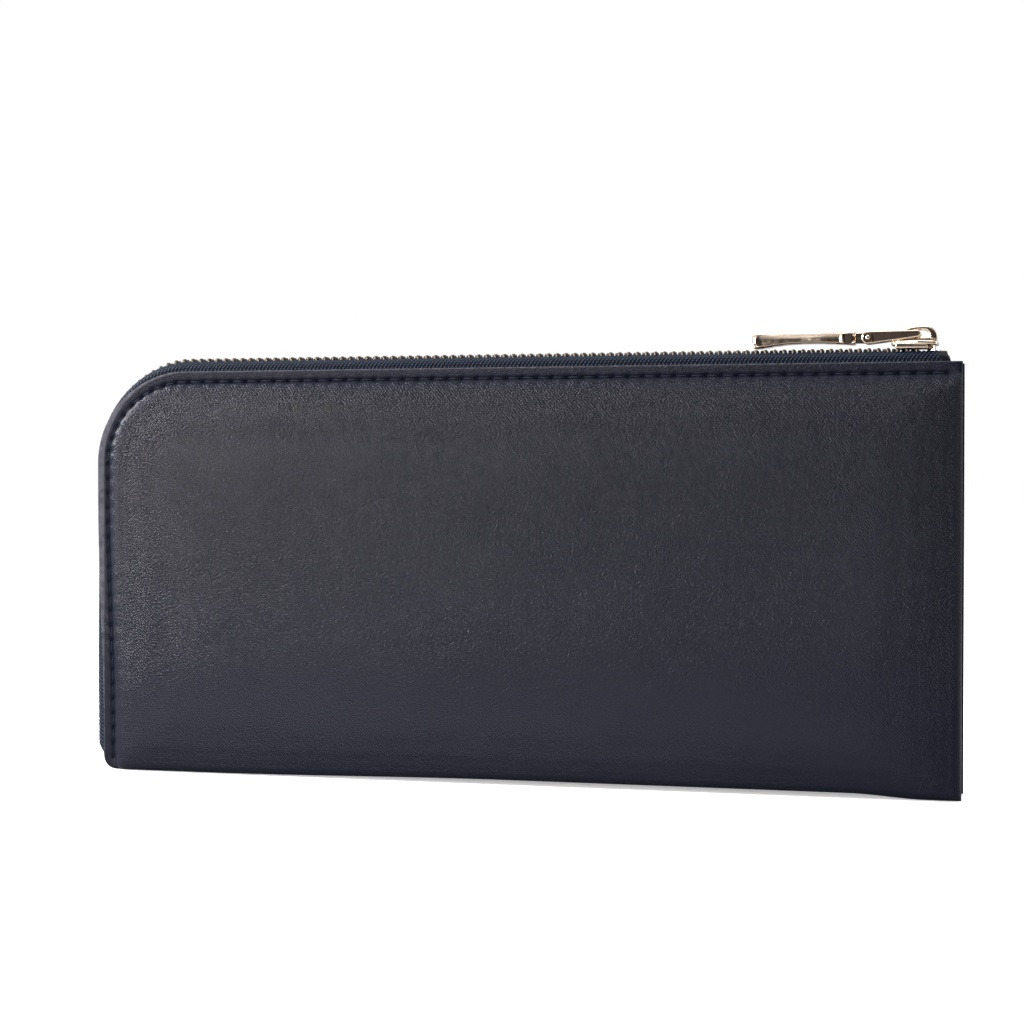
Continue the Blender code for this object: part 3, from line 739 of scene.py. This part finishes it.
# The bar in millimetres: its lower and upper outline over its length, from the free end to the rivet, and
# half of its section as shares of the half width and half height, with how far the scoop sinks each point
BAR_LOW = ((0, 3.6), (0.35, 3.45), (1.2, 3.40), (3, 3.62), (5, 3.95), (8, 4.25), (11, 4.36), (14, 4.36),
           (17, 4.25), (19.5, 4.08), (21.4, 3.95), (22.0, 3.95))
BAR_HIGH = ((0, 6.6), (0.5, 6.74), (1.2, 6.78), (5, 6.5), (9, 6.35), (13, 6.35), (18, 6.55), (21.4, 6.75),
            (22.0, 6.72))
BAR_LENGTH = 22.0
BAR_SECTION = (
    (0.72, 1.0, 0), (0.92, 0.95, 0), (1.0, 0.84, 0), (0.99, 0.74, 0), (0.96, 0.67, 0.30), (0.93, 0.62, 1),
    (0.92, 0.30, 1.05), (0.92, 0.0, 1.07), (0.92, -0.30, 1.05), (0.93, -0.62, 1), (0.96, -0.67, 0.30),
    (0.99, -0.74, 0), (1.0, -0.84, 0), (0.92, -0.95, 0), (0.72, -1.0, 0),
)


def along_table(table, x):
    """A smooth value between the points of a short table."""
    for (x0, v0), (x1, v1) in zip(table, table[1:]):
        if x <= x1:
            return v0 + (v1 - v0) * smooth(x0, x1, x)
    return table[-1][1]


def pull_bar(finish, shade):
    """The waisted handle, with a scooped channel in each side, and its tongue on the rivet."""
    bm = bmesh.new()
    xs = [0, 0.12, 0.3, 0.6, 0.9, 1.1, 1.3, 1.6, 2.0] + stations(2.5, 18.5, 0.8) + [18.9, 19.2, 19.4, 19.6]
    xs += [20.0, 20.5, 21.0, 21.2, 21.4, 21.7, 21.9, 22.0]
    rings = []
    for x in xs:
        low, high = along_table(BAR_LOW, x) * MM, along_table(BAR_HIGH, x) * MM
        nose = math.sqrt(max(1 - (max(0.6 - x, x - BAR_LENGTH + 0.6, 0) / 0.6) ** 2, 0.0))
        taper = 0.80 + 0.20 * nose
        middle, half = HEIGHT + (low + high) / 2, (high - low) / 2 * taper
        width = 2.0 * MM * taper
        scoop = (0.62 - 0.24 * smooth(10, 16, x)) * MM * smooth(0.9, 1.6, x) * (1 - smooth(19.0, 19.3, x))
        scoop += 0.75 * MM * smooth(19.3, 19.6, x) * (1 - smooth(21.0, 21.3, x))
        ring = []
        for mirror in (1, -1):
            for y, v, sunk in BAR_SECTION:
                depth = width * y - scoop * sunk
                ring.append(Vector((BAR_LEFT + x * MM, mirror * depth, middle + mirror * v * half)))
        rings.append(ring)
    loft(bm, rings)
    tongue = arc((RIVET.x, RIVET.z), 1.15 * MM, -90, 90, 14)
    root = BAR_LEFT + (BAR_LENGTH - 0.8) * MM
    tongue += [Vector((root, RIVET.z + 1.1 * MM)), Vector((root, RIVET.z - 1.1 * MM))]
    side_plate(bm, tongue, ((0.12, -1.0), (0, -0.88), (0, 0.88), (0.12, 1.0)))
    obj = finish_mesh("pull_handle", bm, finish, 45)
    low, high = BAR_LEFT + 19.4 * MM, BAR_LEFT + 21.1 * MM
    darken(obj, shade, lambda p: low < p.x < high and abs(p.y) < 1.45 * MM)
    return obj


def zip_stops(finish):
    """The stops at the right end of the rows, and the box that joins the rows at the foot."""
    made = []
    for name in SIDES:
        low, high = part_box(f"top_stop_{name}")
        bm = bmesh.new()
        high.z -= 0.75 * MM
        pillow(bm, low, high, 0.3 * MM, 4)
        made.append(finish_mesh(f"top_stop_cap_{name}", bm, finish, 60))
    low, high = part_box("bottom_stop")
    bm = bmesh.new()
    low.x += 1.2 * MM
    high.x += 1.0 * MM
    pillow(bm, (low.x + 0.2 * MM, low.y, low.z), high, 0.35 * MM, 4)
    for y in (-1.1 * MM, 1.1 * MM):
        near = (low.x + 0.1 * MM, y - 0.25 * MM, low.z + 0.2 * MM)
        pillow(bm, near, (high.x, y + 0.25 * MM, high.z - 0.2 * MM), 0.2 * MM, 4)
    made.append(finish_mesh("bottom_stop_box", bm, finish, 60))
    return made


# Inside


def cloth_lining(name, finish):
    """The lining of a panel, which steps in along the zip to leave room for the tape."""
    side = SIDES[name]
    edge, tape_depth, clear_depth, inner = 1.0 * MM, 6.5 * MM, 9.5 * MM, 3.3 * MM
    radius = CORNER - edge

    def place(x, z):
        behind = half_thickness(x, z) - LEATHER - 0.3 * MM
        share = smooth(tape_depth, clear_depth, zip_distance(x, z))
        depth = inner + (behind - inner) * share
        depth -= 0.10 * MM * (0.5 + 0.5 * noise.noise(Vector((x / (14 * MM), side, z / (22 * MM)))))
        return x, side * depth, z

    def cornered(x, z):
        a, b = (CORNER_X - x) / radius, (z - CORNER_Z) / radius
        if a > 0 and b > 0:
            a, b = min(a, 1), min(b, 1)
            x = CORNER_X - radius * a * math.sqrt(1 - b * b / 2)
            z = CORNER_Z + radius * b * math.sqrt(1 - a * a / 2)
        return place(x, z)

    columns = stations(LEFT + edge, RIGHT - 5 * MM, 2 * MM)
    rows = stations(3.2 * MM, HEIGHT - edge, 1.5 * MM)
    return sheet(f"lining_{name}", columns, rows, cornered, finish, 0.4 * MM, ACROSS * side, 0.1 * MM)


def lining_bottom(finish):
    """The lining over the bottom strip, turned up by 1 mm at both sides."""
    low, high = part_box("bottom_lining")
    edge, cloth = 1.0 * MM, 0.4 * MM

    def place(x, w):
        y = min(max(w, low.y), high.y)
        wrinkle = 0.12 * MM * (1 + noise.noise(Vector((x / (9 * MM), w / (5 * MM), 2))))
        ground = max(settle(x, 0)[1] + LEATHER + 0.05 * MM, low.z)
        return x, y, ground + wrinkle + cloth + abs(w - y)

    columns, rows = stations(low.x, high.x, 2 * MM), stations(low.y - edge, high.y + edge, 1 * MM)
    return sheet("lining_floor", columns, rows, place, finish, cloth, UP, 0.1 * MM)


def card_slot(index, finish):
    """A leather strip with a turned upper edge and a creased line under it."""
    low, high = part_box(f"card_slot_{index}")
    middle = (low.x + high.x) / 2

    def place(x, z):
        under = high.z - z
        crease = -0.14 * MM * bump(under - 1.7 * MM, 0.28 * MM)
        turned_edge = 0.10 * MM * (1 - smooth(1.5 * MM, 2.2 * MM, under))
        seam = -0.10 * MM * bump(x - middle, 0.5 * MM)
        sag = 0.10 * MM * noise.noise(Vector((x / (16 * MM), index, z / (20 * MM))))
        return x, high.y - 0.12 * MM + crease + turned_edge + seam + sag, z

    upward = stations(low.z, high.z - 3 * MM, 4 * MM) + stations(high.z - 2.6 * MM, high.z, 0.2 * MM)
    across = stations(low.x, middle - 2 * MM, 4 * MM)
    across += stations(middle - 1.5 * MM, middle + 1.5 * MM, 0.3 * MM)
    across += stations(middle + 2 * MM, high.x, 4 * MM)
    pocket = sheet(f"card_pocket_{index}", across, upward, place, finish, 0.5 * MM, ACROSS, 0.16 * MM, 60)
    return mark_inset(pocket)


def card_stitches(finish):
    """The seam that divides the slots in the middle, and one down each side."""
    low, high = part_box("card_stitching")
    slot_low, slot_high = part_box("card_slot_4")
    bm = bmesh.new()
    pitch = 3.0 * MM
    top = slot_high.z - 1.2 * MM
    for x in (slot_low.x + 2 * MM, (low.x + high.x) / 2, slot_high.x - 2 * MM):
        z = 8 * MM
        while z + pitch < top:
            y = slot_high.y - 0.1 * MM
            stitch(bm, (x, y, z + 0.3 * MM), (x, y, z + pitch - 0.3 * MM), (0, 1, 0), 0.17 * MM, 0.12 * MM)
            z += pitch
    return finish_mesh("card_stitches", bm, finish, 80)


def coin_cloth(node, name, finish, bulge):
    """A flat piece of the coin pocket's cloth wall, which bulges towards the middle."""
    low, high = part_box(node)

    def place(x, z):
        u, v = (x - low.x) / (high.x - low.x), (z - low.z) / (high.z - low.z)
        rise = bulge * math.sin(math.pi * u) * math.sin(math.pi * v)
        fold = 0.12 * MM * noise.noise(Vector((x / (13 * MM), 4, z / (17 * MM))))
        return x, low.y - rise + fold, z

    columns, rows = stations(low.x, high.x, 2 * MM), stations(low.z, high.z, 1.5 * MM)
    return sheet(name, columns, rows, place, finish, 0.45 * MM, -ACROSS, 0.1 * MM)


def coin_trim(name, leather, thread):
    """A narrow leather strip beside the coin zip, sewn along both edges."""
    low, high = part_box(f"coin_trim_{name}")

    def place(x, z):
        v = abs(2 * (z - low.z) / (high.z - low.z) - 1)
        return x, low.y + 0.10 * MM * v**4, z

    columns, rows = stations(low.x, high.x, 3 * MM), stations(low.z, high.z, 0.4 * MM)
    strip = sheet(f"coin_border_{name}", columns, rows, place, leather, 0.3 * MM, -ACROSS, 0.1 * MM, 60)
    bm = bmesh.new()
    pitch = 2.8 * MM
    for z in (low.z + 0.9 * MM, high.z - 0.9 * MM):
        for i in range(int((high.x - low.x) / pitch)):
            x = low.x + (i + 0.5) * pitch
            stitch(bm, (x - 1.05 * MM, low.y, z), (x + 1.05 * MM, low.y, z), -ACROSS, 0.15 * MM, 0.1 * MM)
    return mark_inset(strip), finish_mesh(f"coin_border_stitches_{name}", bm, thread, 80)


def coin_tape(name, finish):
    """Woven tape of the coin zip, in the same twill."""
    low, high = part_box(f"coin_tape_{name}")

    def place(x, z):
        crown = weave(x + 1, z - low.z)
        return x, low.y + 0.08 * MM - 0.1 * MM * crown, z, crown

    columns, rows = stations(low.x, high.x, WEAVE / 3), stations(low.z, high.z, WEAVE / 4)
    return sheet(f"coin_zip_tape_{name}", columns, rows, place, finish, 0.2 * MM, -ACROSS, sharp=180)


def coin_coil(name, finish):
    """One side of a nylon coil: a row of rounded loops."""
    low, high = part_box(f"coin_coil_{name}")
    bm = bmesh.new()
    pitch = 1.15 * MM
    middle, half = (low.z + high.z) / 2, (high.z - low.z) / 2
    depth = (high.y - low.y) / 2
    shift = 0.0 if name == "lower" else pitch / 2
    count = int((high.x - low.x - shift) / pitch)
    for i in range(count):
        x = low.x + shift + (i + 0.5) * pitch
        rings = []
        for k in range(15):
            angle = math.radians(-150 + 300 * k / 14)
            y, z = -math.cos(angle) * (depth - 0.16 * MM), math.sin(angle) * (half - 0.1 * MM)
            centre = Vector((x + 0.22 * MM * math.sin(angle), (low.y + high.y) / 2 + y, middle + z))
            radial = Vector((0, y, z)).normalized()
            rings.append(oval(centre, LENGTHWISE * 0.26 * MM, radial * 0.2 * MM, 2, 8))
        loft(bm, rings)
    return finish_mesh(f"coin_zip_coil_{name}", bm, finish, 60)


def coin_metal(finish):
    """The coin zip's slider, pull tab and end stops."""
    low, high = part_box("coin_slider")
    middle_x, middle_z = (low.x + high.x) / 2, (low.z + high.z) / 2
    pivot_z = middle_z - 0.5 * MM
    bm = bmesh.new()

    def part(x0, x1, y0, y1, z, half, edge, power):
        pillow(bm, (x0, y0 * MM, z - half * MM), (x1, y1 * MM, z + half * MM), edge * MM, power)

    part(low.x, high.x, 2.8, 3.4, middle_z, 2.8, 0.22, 5)
    part(low.x, high.x, 4.9, 5.4, middle_z, 2.4, 0.22, 5)
    part(high.x - 2.2 * MM, high.x - 0.8 * MM, 3.1, 5.1, middle_z, 0.5, 0.1, 6)
    for x in (-2.9, 2.3):
        part(middle_x + x * MM, middle_x + (x + 0.6) * MM, 1.8, 3.1, pivot_z, 0.6, 0.15, 3)
    slider = finish_mesh("coin_slider_shell", bm, finish, 50)

    bm = bmesh.new()
    tab = arc((middle_x, pivot_z - 8.2 * MM), 2.0 * MM, 180, 360, 16)
    tab += arc((middle_x + 1.3 * MM, pivot_z - 0.3 * MM), 0.7 * MM, 0, 90, 5)
    tab += arc((middle_x - 1.3 * MM, pivot_z - 0.3 * MM), 0.7 * MM, 90, 180, 5)
    levels = ((0.12, 2.42), (0, 2.34), (0, 2.06), (0.1, 1.96), (0.45, 1.96), (0.52, 2.05), (0.6, 2.08))
    side_plate(bm, resampled(tab, 60), levels)
    pull = finish_mesh("coin_pull_tab", bm, finish, 50)

    stops = []
    for end in ("left", "right"):
        low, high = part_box(f"coin_stop_{end}")
        bm = bmesh.new()
        pillow(bm, low, high, 0.25 * MM, 4)
        stops.append(finish_mesh(f"coin_stop_clip_{end}", bm, finish, 60))
    return slider, pull, stops


# Materials


class Nodes:
    """A node tree with one call for each node. A socket takes a number or another node's output."""

    def __init__(self, tree):
        self.nodes, self.links = tree.nodes, tree.links

    def add(self, kind, values=None, **settings):
        node = self.nodes.new(kind)
        for key, value in settings.items():
            setattr(node, key, value)
        for socket, value in (values or {}).items():
            self.put(node.inputs[socket], value)
        return node

    def put(self, socket, value):
        if isinstance(value, bpy.types.NodeSocket):
            self.links.new(value, socket)
        else:
            socket.default_value = value

    def math(self, operation, a, b):
        return self.add("ShaderNodeMath", {0: a, 1: b}, operation=operation).outputs[0]

    def vector(self, operation, a, b):
        return self.add("ShaderNodeVectorMath", {0: a, 1: b}, operation=operation).outputs[0]

    def between(self, value, low, high, new_low=0.0, new_high=1.0):
        values = {"Value": value, "From Min": low, "From Max": high, "To Min": new_low, "To Max": new_high}
        return self.add("ShaderNodeMapRange", values).outputs["Result"]


class Finish(Nodes):
    """The nodes of a material, laid out in the object's own space."""

    def __init__(self, name):
        self.material = bpy.data.materials.new(name)
        self.material.use_nodes = True
        super().__init__(self.material.node_tree)
        self.shader = self.nodes["Principled BSDF"]
        self.place = self.add("ShaderNodeTexCoord").outputs["Object"]

    def stored(self, name):
        """A number that a mesh stores at its points."""
        return self.add("ShaderNodeAttribute", attribute_name=name).outputs["Fac"]

    def noise(self, scale, detail=2.0, place=None, output="Fac"):
        values = {"Vector": place or self.place, "Scale": scale, "Detail": detail}
        return self.add("ShaderNodeTexNoise", values).outputs[output]

    def mix(self, share, a, b):
        node = self.add("ShaderNodeMix", {0: share, 6: a, 7: b}, data_type="RGBA")
        return node.outputs[2]

    def bump(self, height, strength, distance):
        values = {"Height": height, "Strength": strength, "Distance": distance}
        return self.add("ShaderNodeBump", values).outputs["Normal"]

    def done(self, colour, roughness, normal=None, **uniform):
        self.put(self.shader.inputs["Base Color"], colour)
        self.put(self.shader.inputs["Roughness"], roughness)
        if normal:
            self.put(self.shader.inputs["Normal"], normal)
        for name, value in uniform.items():
            self.shader.inputs[name.replace("_", " ")].default_value = value
        return self.material


def rgb(r, g, b):
    return (r, g, b, 1.0)


WHITE = rgb(1.0, 1.0, 1.0)


def leather_material():
    """Smooth calf: fine pebbles and pores, slow changes of tone, painted shade in the grain's valleys, and a
    sleeker zip edge painted lighter as a highlight.
    """
    grain_lean, grain_stretch, stray = 0.85, 1.4, 0.08 * MM
    t = Finish(HIDE)
    inset = t.stored("inset")
    leaning = {"Vector": t.place, "Rotation": (0.0, grain_lean, 0.0), "Scale": (1.0, 1.0, grain_stretch)}
    place = t.add("ShaderNodeMapping", leaning, vector_type="TEXTURE").outputs[0]
    warp = t.noise(1500.0, 1.0, place, "Color")
    place = t.vector("ADD", place, t.vector("MULTIPLY", warp, (stray, stray, stray)))
    pebbles = {"Vector": place, "Scale": 2500.0, "Randomness": 0.5}
    cells = t.add("ShaderNodeTexVoronoi", pebbles).outputs["Distance"]
    fine = t.noise(5200.0, 2.0, place)
    slow = t.noise(38.0, 3.0)
    level = t.add("ShaderNodeSeparateXYZ", {0: t.place}).outputs["Z"]
    past_stitches = t.between(inset, 2.7, 5.4, 0.15, 1.0)
    above_foot = t.between(level, 0.015, 0.062, 0.22, 1.0)
    grained = t.math("MULTIPLY", past_stitches, above_foot)
    height = t.math("ADD", t.math("MULTIPLY", cells, -1.0), t.math("MULTIPLY", fine, 0.5))
    normal = t.bump(t.math("MULTIPLY", height, grained), 1.0, 0.56 * MM)
    base = t.mix(slow, rgb(0.0030, 0.0044, 0.0110), rgb(0.0046, 0.0060, 0.0136))
    # Painted shade: the valleys between the grain's pebbles are mixed towards near-black, fading towards the
    # foot along with the grain.
    valley = t.math("MULTIPLY", t.between(cells, 0.30, 0.62), grained)
    base = t.mix(t.math("MULTIPLY", valley, 0.7), base, rgb(0.002, 0.003, 0.006))
    # Painted highlight: the last 0.3 mm at the zip edge is painted a lighter grey-violet, broken up by noise,
    # for the thin light line along the edge.
    edge = t.between(inset, 0.05, 0.32, 1.0, 0.0)
    edge_highlight = t.math("MULTIPLY", edge, t.between(t.noise(500.0, 3.0), 0.35, 0.7, 0.35, 1.0))
    base = t.mix(edge_highlight, base, rgb(0.085, 0.087, 0.105))
    rough = t.math("ADD", t.between(slow, 0.3, 0.7, 0.31, 0.37), t.math("MULTIPLY", valley, 0.08))
    rough = t.math("SUBTRACT", rough, t.math("MULTIPLY", edge, 0.08))
    return t.done(base, rough, normal, Specular_IOR_Level=0.18, Specular_Tint=rgb(0.93, 0.90, 1.0))


def tape_material(name, light, dark):
    """Navy polyester yarn with fine fibres, painted lighter on the crowns of the beads and near-black between
    them: painted highlight and painted shade.
    """
    t = Finish(name)
    fibre = t.noise(9000.0)
    tone = t.noise(1400.0)
    # Painted highlight and painted shade: the colour follows the weave's height, light on the yarn's crowns
    # and near-black between them.
    base = t.mix(t.between(t.stored("crown"), 0.25, 0.9), dark, light)
    base = t.mix(t.math("MULTIPLY", tone, 0.5), base, dark)
    rough = t.between(fibre, 0.3, 0.7, 0.45, 0.7)
    return t.done(base, rough, t.bump(fibre, 0.35, 0.08 * MM), Specular_IOR_Level=0.13)


def metal_material(name, tone, roughness):
    """Plating with faint wipe marks along the wallet and uneven gloss."""
    t = Finish(name)
    stretched = t.vector("MULTIPLY", t.place, (300.0, 3000.0, 2400.0))
    wipes = t.noise(1.0, 3.0, stretched)
    spots = t.noise(700.0, 3.0)
    pale = [min(c * 1.08, 1.0) for c in tone]
    base = t.mix(spots, rgb(*tone), rgb(*pale))
    gloss = t.between(spots, 0.3, 0.7, roughness - 0.04, roughness + 0.05)
    rough = t.math("ADD", gloss, t.between(wipes, 0.3, 0.7, -0.02, 0.04))
    return t.done(base, rough, t.bump(wipes, 0.12, 0.03 * MM), Metallic=1.0)


def thread_material():
    """Bonded navy thread with loose fibres."""
    t = Finish(THREAD)
    fibre = t.noise(12000.0)
    base = t.mix(fibre, rgb(0.003, 0.004, 0.010), rgb(0.010, 0.013, 0.026))
    rough = t.between(fibre, 0.3, 0.7, 0.6, 0.8)
    return t.done(base, rough, t.bump(fibre, 0.4, 0.05 * MM), Specular_IOR_Level=0.2)


def lining_material():
    """Plain woven cotton lining."""
    t = Finish(CLOTH)
    yarns = {"Vector": t.place, "Scale": 520.0, "Distortion": 0.6, "Detail Scale": 2.0}
    warp, weft = (t.add("ShaderNodeTexWave", yarns, bands_direction=axis).outputs["Fac"] for axis in "XZ")
    woven = t.math("MULTIPLY", warp, weft)
    fuzz = t.noise(5000.0)
    base = t.mix(woven, rgb(0.020, 0.026, 0.050), rgb(0.055, 0.065, 0.105))
    base = t.mix(t.math("MULTIPLY", t.noise(60.0), 0.35), base, rgb(0.028, 0.034, 0.062))
    height = t.math("ADD", woven, t.math("MULTIPLY", fuzz, 0.4))
    rough = t.between(fuzz, 0.3, 0.7, 0.75, 0.95)
    return t.done(base, rough, t.bump(height, 0.5, 0.2 * MM), Sheen_Weight=0.3)


# Putting it together


def place_piece(obj, nodes, body=None):
    """Hide the CAD nodes that a piece stands in for and give it its body. Without a body it opens with the
    front.
    """
    if nodes:
        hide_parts(*nodes)
    if body:
        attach(obj, body)
    else:
        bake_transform(obj)
    return obj


def build_shell(leather, thread, cloth, woven, teeth_metal):
    """Both halves with their linings and zip, the bottom, and the gusset."""
    for name in SIDES:
        body = "back" if name == "back" else None
        place_piece(leather_panel(name, leather), [f"{name}_panel"], body)
        place_piece(zip_stitches(name, thread), [f"stitching_{name}"], body)
        place_piece(zip_tape(name, woven), [f"zip_tape_{name}"], body)
        place_piece(zip_teeth(name, teeth_metal), [f"zip_teeth_{name}"], body)
        lining = place_piece(cloth_lining(name, cloth), [f"{name}_lining"], body)
    place_piece(leather_bottom(leather), ["bottom_fold"], "back")
    floor_cloth = place_piece(lining_bottom(cloth), ["bottom_lining"], "back")
    gusset = leather_gusset(leather)
    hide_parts("side_gusset")
    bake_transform(gusset)


def build_metal(gold, shade, stop_metal):
    """The stops, the slider and its pull."""
    front_stop, back_stop, foot = zip_stops(stop_metal)
    for piece, node, body in (
        (front_stop, "top_stop_front", None),
        (back_stop, "top_stop_back", "back"),
        (foot, "bottom_stop", "back"),
        (slider_shell(gold), "slider_body", "slider"),
        (slider_bail(gold), "slider_bail", "slider"),
        (pull_link(gold, shade), "pull_link", "pull_link"),
        (pull_rivet(gold), "pull_rivet", "pull_link"),
        (pull_bar(gold, shade), "pull_bar", "pull_bar"),
    ):
        place_piece(piece, [node], body)


def build_pockets(leather, thread, cloth, woven, nylon, gold):
    """The card slots on the front and the coin pocket on the back."""
    for index in range(1, 5):
        place_piece(card_slot(index, leather), [f"card_slot_{index}"])
    place_piece(card_stitches(thread), ["card_stitching"])
    wall = coin_cloth("coin_wall", "coin_cloth_wall", cloth, 0.5 * MM)
    hem = coin_cloth("coin_top_strip", "coin_cloth_top", cloth, 0.0)
    place_piece(wall, ["coin_wall"], "back")
    place_piece(hem, ["coin_top_strip"], "back")
    for name in ("lower", "upper"):
        strip, seam = coin_trim(name, leather, thread)
        place_piece(strip, [f"coin_trim_{name}"], "back")
        place_piece(seam, [], "back")
        place_piece(coin_tape(name, woven), [f"coin_tape_{name}"], "back")
        place_piece(coin_coil(name, nylon), [f"coin_coil_{name}"], "back")
    slider, pull, stops = coin_metal(gold)
    place_piece(slider, ["coin_slider"], "coin_slider")
    place_piece(pull, ["coin_pull"], "coin_pull")
    for end, stop in zip(("left", "right"), stops):
        place_piece(stop, [f"coin_stop_{end}"], "back")


def build():
    leather, thread, cloth = leather_material(), thread_material(), lining_material()
    # The light tone is a painted highlight on the yarn's crowns. The dark tone is painted shade between them
    # and also the random darker tone.
    woven = tape_material(TAPE, rgb(0.034, 0.060, 0.115), rgb(0.0006, 0.0015, 0.0045))
    nylon = tape_material("coil_nylon", rgb(0.022, 0.030, 0.055), rgb(0.012, 0.018, 0.036))
    gold = metal_material(METAL, (0.78, 0.64, 0.50), 0.11)
    # Near-black metal for the sunk panels of the link and of the bar's tongue: painted shade in the recesses.
    shade = metal_material("recess_shade_metal", (0.055, 0.042, 0.034), 0.34)
    brass = metal_material("tooth_metal", (0.085, 0.070, 0.054), 0.36)
    build_shell(leather, thread, cloth, woven, brass)
    build_metal(gold, shade, brass)
    build_pockets(leather, thread, cloth, woven, nylon, gold)


# Studio


def floor():
    """White paper to the camera, and a middle grey to the rays that light the wallet."""
    bpy.ops.mesh.primitive_plane_add(size=8, location=(0, 0, -0.02 * MM))
    ground = bpy.context.object
    ground.name = "floor"
    t = Finish("floor_paper")
    paper = t.mix(t.noise(900.0), rgb(0.90, 0.90, 0.90), rgb(0.93, 0.93, 0.93))
    seen = t.add("ShaderNodeLightPath").outputs["Is Camera Ray"]
    tone = t.mix(seen, rgb(0.44, 0.44, 0.45), paper)
    t.put(t.shader.inputs["Emission Strength"], t.math("MULTIPLY", seen, 0.40))
    ground.data.materials.append(t.done(tone, 0.9, Emission_Color=WHITE, Specular_IOR_Level=0.1))


def surroundings():
    """White to the camera. As a light it is dim low down, and bright overhead and behind the wallet."""
    world = bpy.data.worlds.new("studio")
    bpy.context.scene.world = world
    world.use_nodes = True
    t = Nodes(world.node_tree)
    direction = t.add("ShaderNodeSeparateXYZ", {0: t.add("ShaderNodeTexCoord").outputs["Generated"]}).outputs
    overhead = t.between(direction["Z"], 0.25, 0.75, 0.04, 0.85)
    behind = t.between(direction["Y"], 0.0, 0.6, 0.0, 0.7)
    light = t.nodes["Background"]
    t.put(light.inputs["Color"], WHITE)
    t.put(light.inputs["Strength"], t.math("MAXIMUM", overhead, behind))
    paper = t.add("ShaderNodeBackground", {"Color": WHITE, "Strength": 1.0})
    seen = t.add("ShaderNodeLightPath").outputs["Is Camera Ray"]
    switch = t.add("ShaderNodeMixShader", {0: seen, 1: light.outputs[0], 2: paper.outputs[0]})
    t.put(t.nodes["World Output"].inputs["Surface"], switch.outputs[0])


# Name, place, the point it faces, size, watts and colour. Key, side and left give the long highlights
LIGHTS = (
    ("key", (-0.22, -0.60, 0.17), (-0.05, 0, 0.07), (0.14, 0.14), 2.4, (1.0, 0.96, 0.96)),
    ("side", (-0.50, -0.50, 0.11), (-0.05, 0, 0.05), (0.20, 0.20), 1.8, (1.0, 0.96, 0.96)),
    ("left", (-0.60, -0.09, 0.36), (-0.08, 0, 0.08), (0.25, 0.25), 8.8, (1.0, 0.96, 0.95)),
    ("right", (0.50, 0.10, 0.20), (0.08, 0, 0.06), (0.25, 0.35), 0.5, (1.0, 1.0, 1.0)),
    ("top", (0.0, 0.05, 0.9), (0, 0, 0.05), (0.8, 0.5), 5.5, (1.0, 1.0, 1.0)),
)


def face_along(obj, direction):
    obj.rotation_euler = Vector(direction).to_track_quat("-Z", "Y").to_euler()


def area_light(name, place, target, size, power, colour):
    light = bpy.data.lights.new(name, "AREA")
    light.shape = "RECTANGLE"
    light.size, light.size_y = size
    light.energy = power
    light.color = colour
    obj = bpy.data.objects.new(name, light)
    bpy.context.scene.collection.objects.link(obj)
    obj.location = place
    face_along(obj, Vector(target) - obj.location)


CAMERA_PLACE = (0.11606, -0.44569, 0.06766)
CAMERA_TURN = math.radians(-14.518)     # from straight back, towards the left
CAMERA_PITCH = -0.01663                 # a little downward
CAMERA_LENS = 72.55                     # in millimetres, on a sensor 36 mm wide


def camera():
    data = bpy.data.cameras.new("camera")
    data.sensor_width = 36.0
    data.lens = CAMERA_LENS
    data.clip_start, data.clip_end = 0.01, 50
    obj = bpy.data.objects.new("camera", data)
    bpy.context.scene.collection.objects.link(obj)
    obj.location = CAMERA_PLACE
    level = math.cos(CAMERA_PITCH)
    face_along(obj, (math.sin(CAMERA_TURN) * level, math.cos(CAMERA_TURN) * level, math.sin(CAMERA_PITCH)))
    bpy.context.scene.camera = obj


def studio():
    bpy.context.scene.view_settings.view_transform = "Standard"
    floor()
    surroundings()
    for light in LIGHTS:
        area_light(*light)
    camera()


build()
studio()
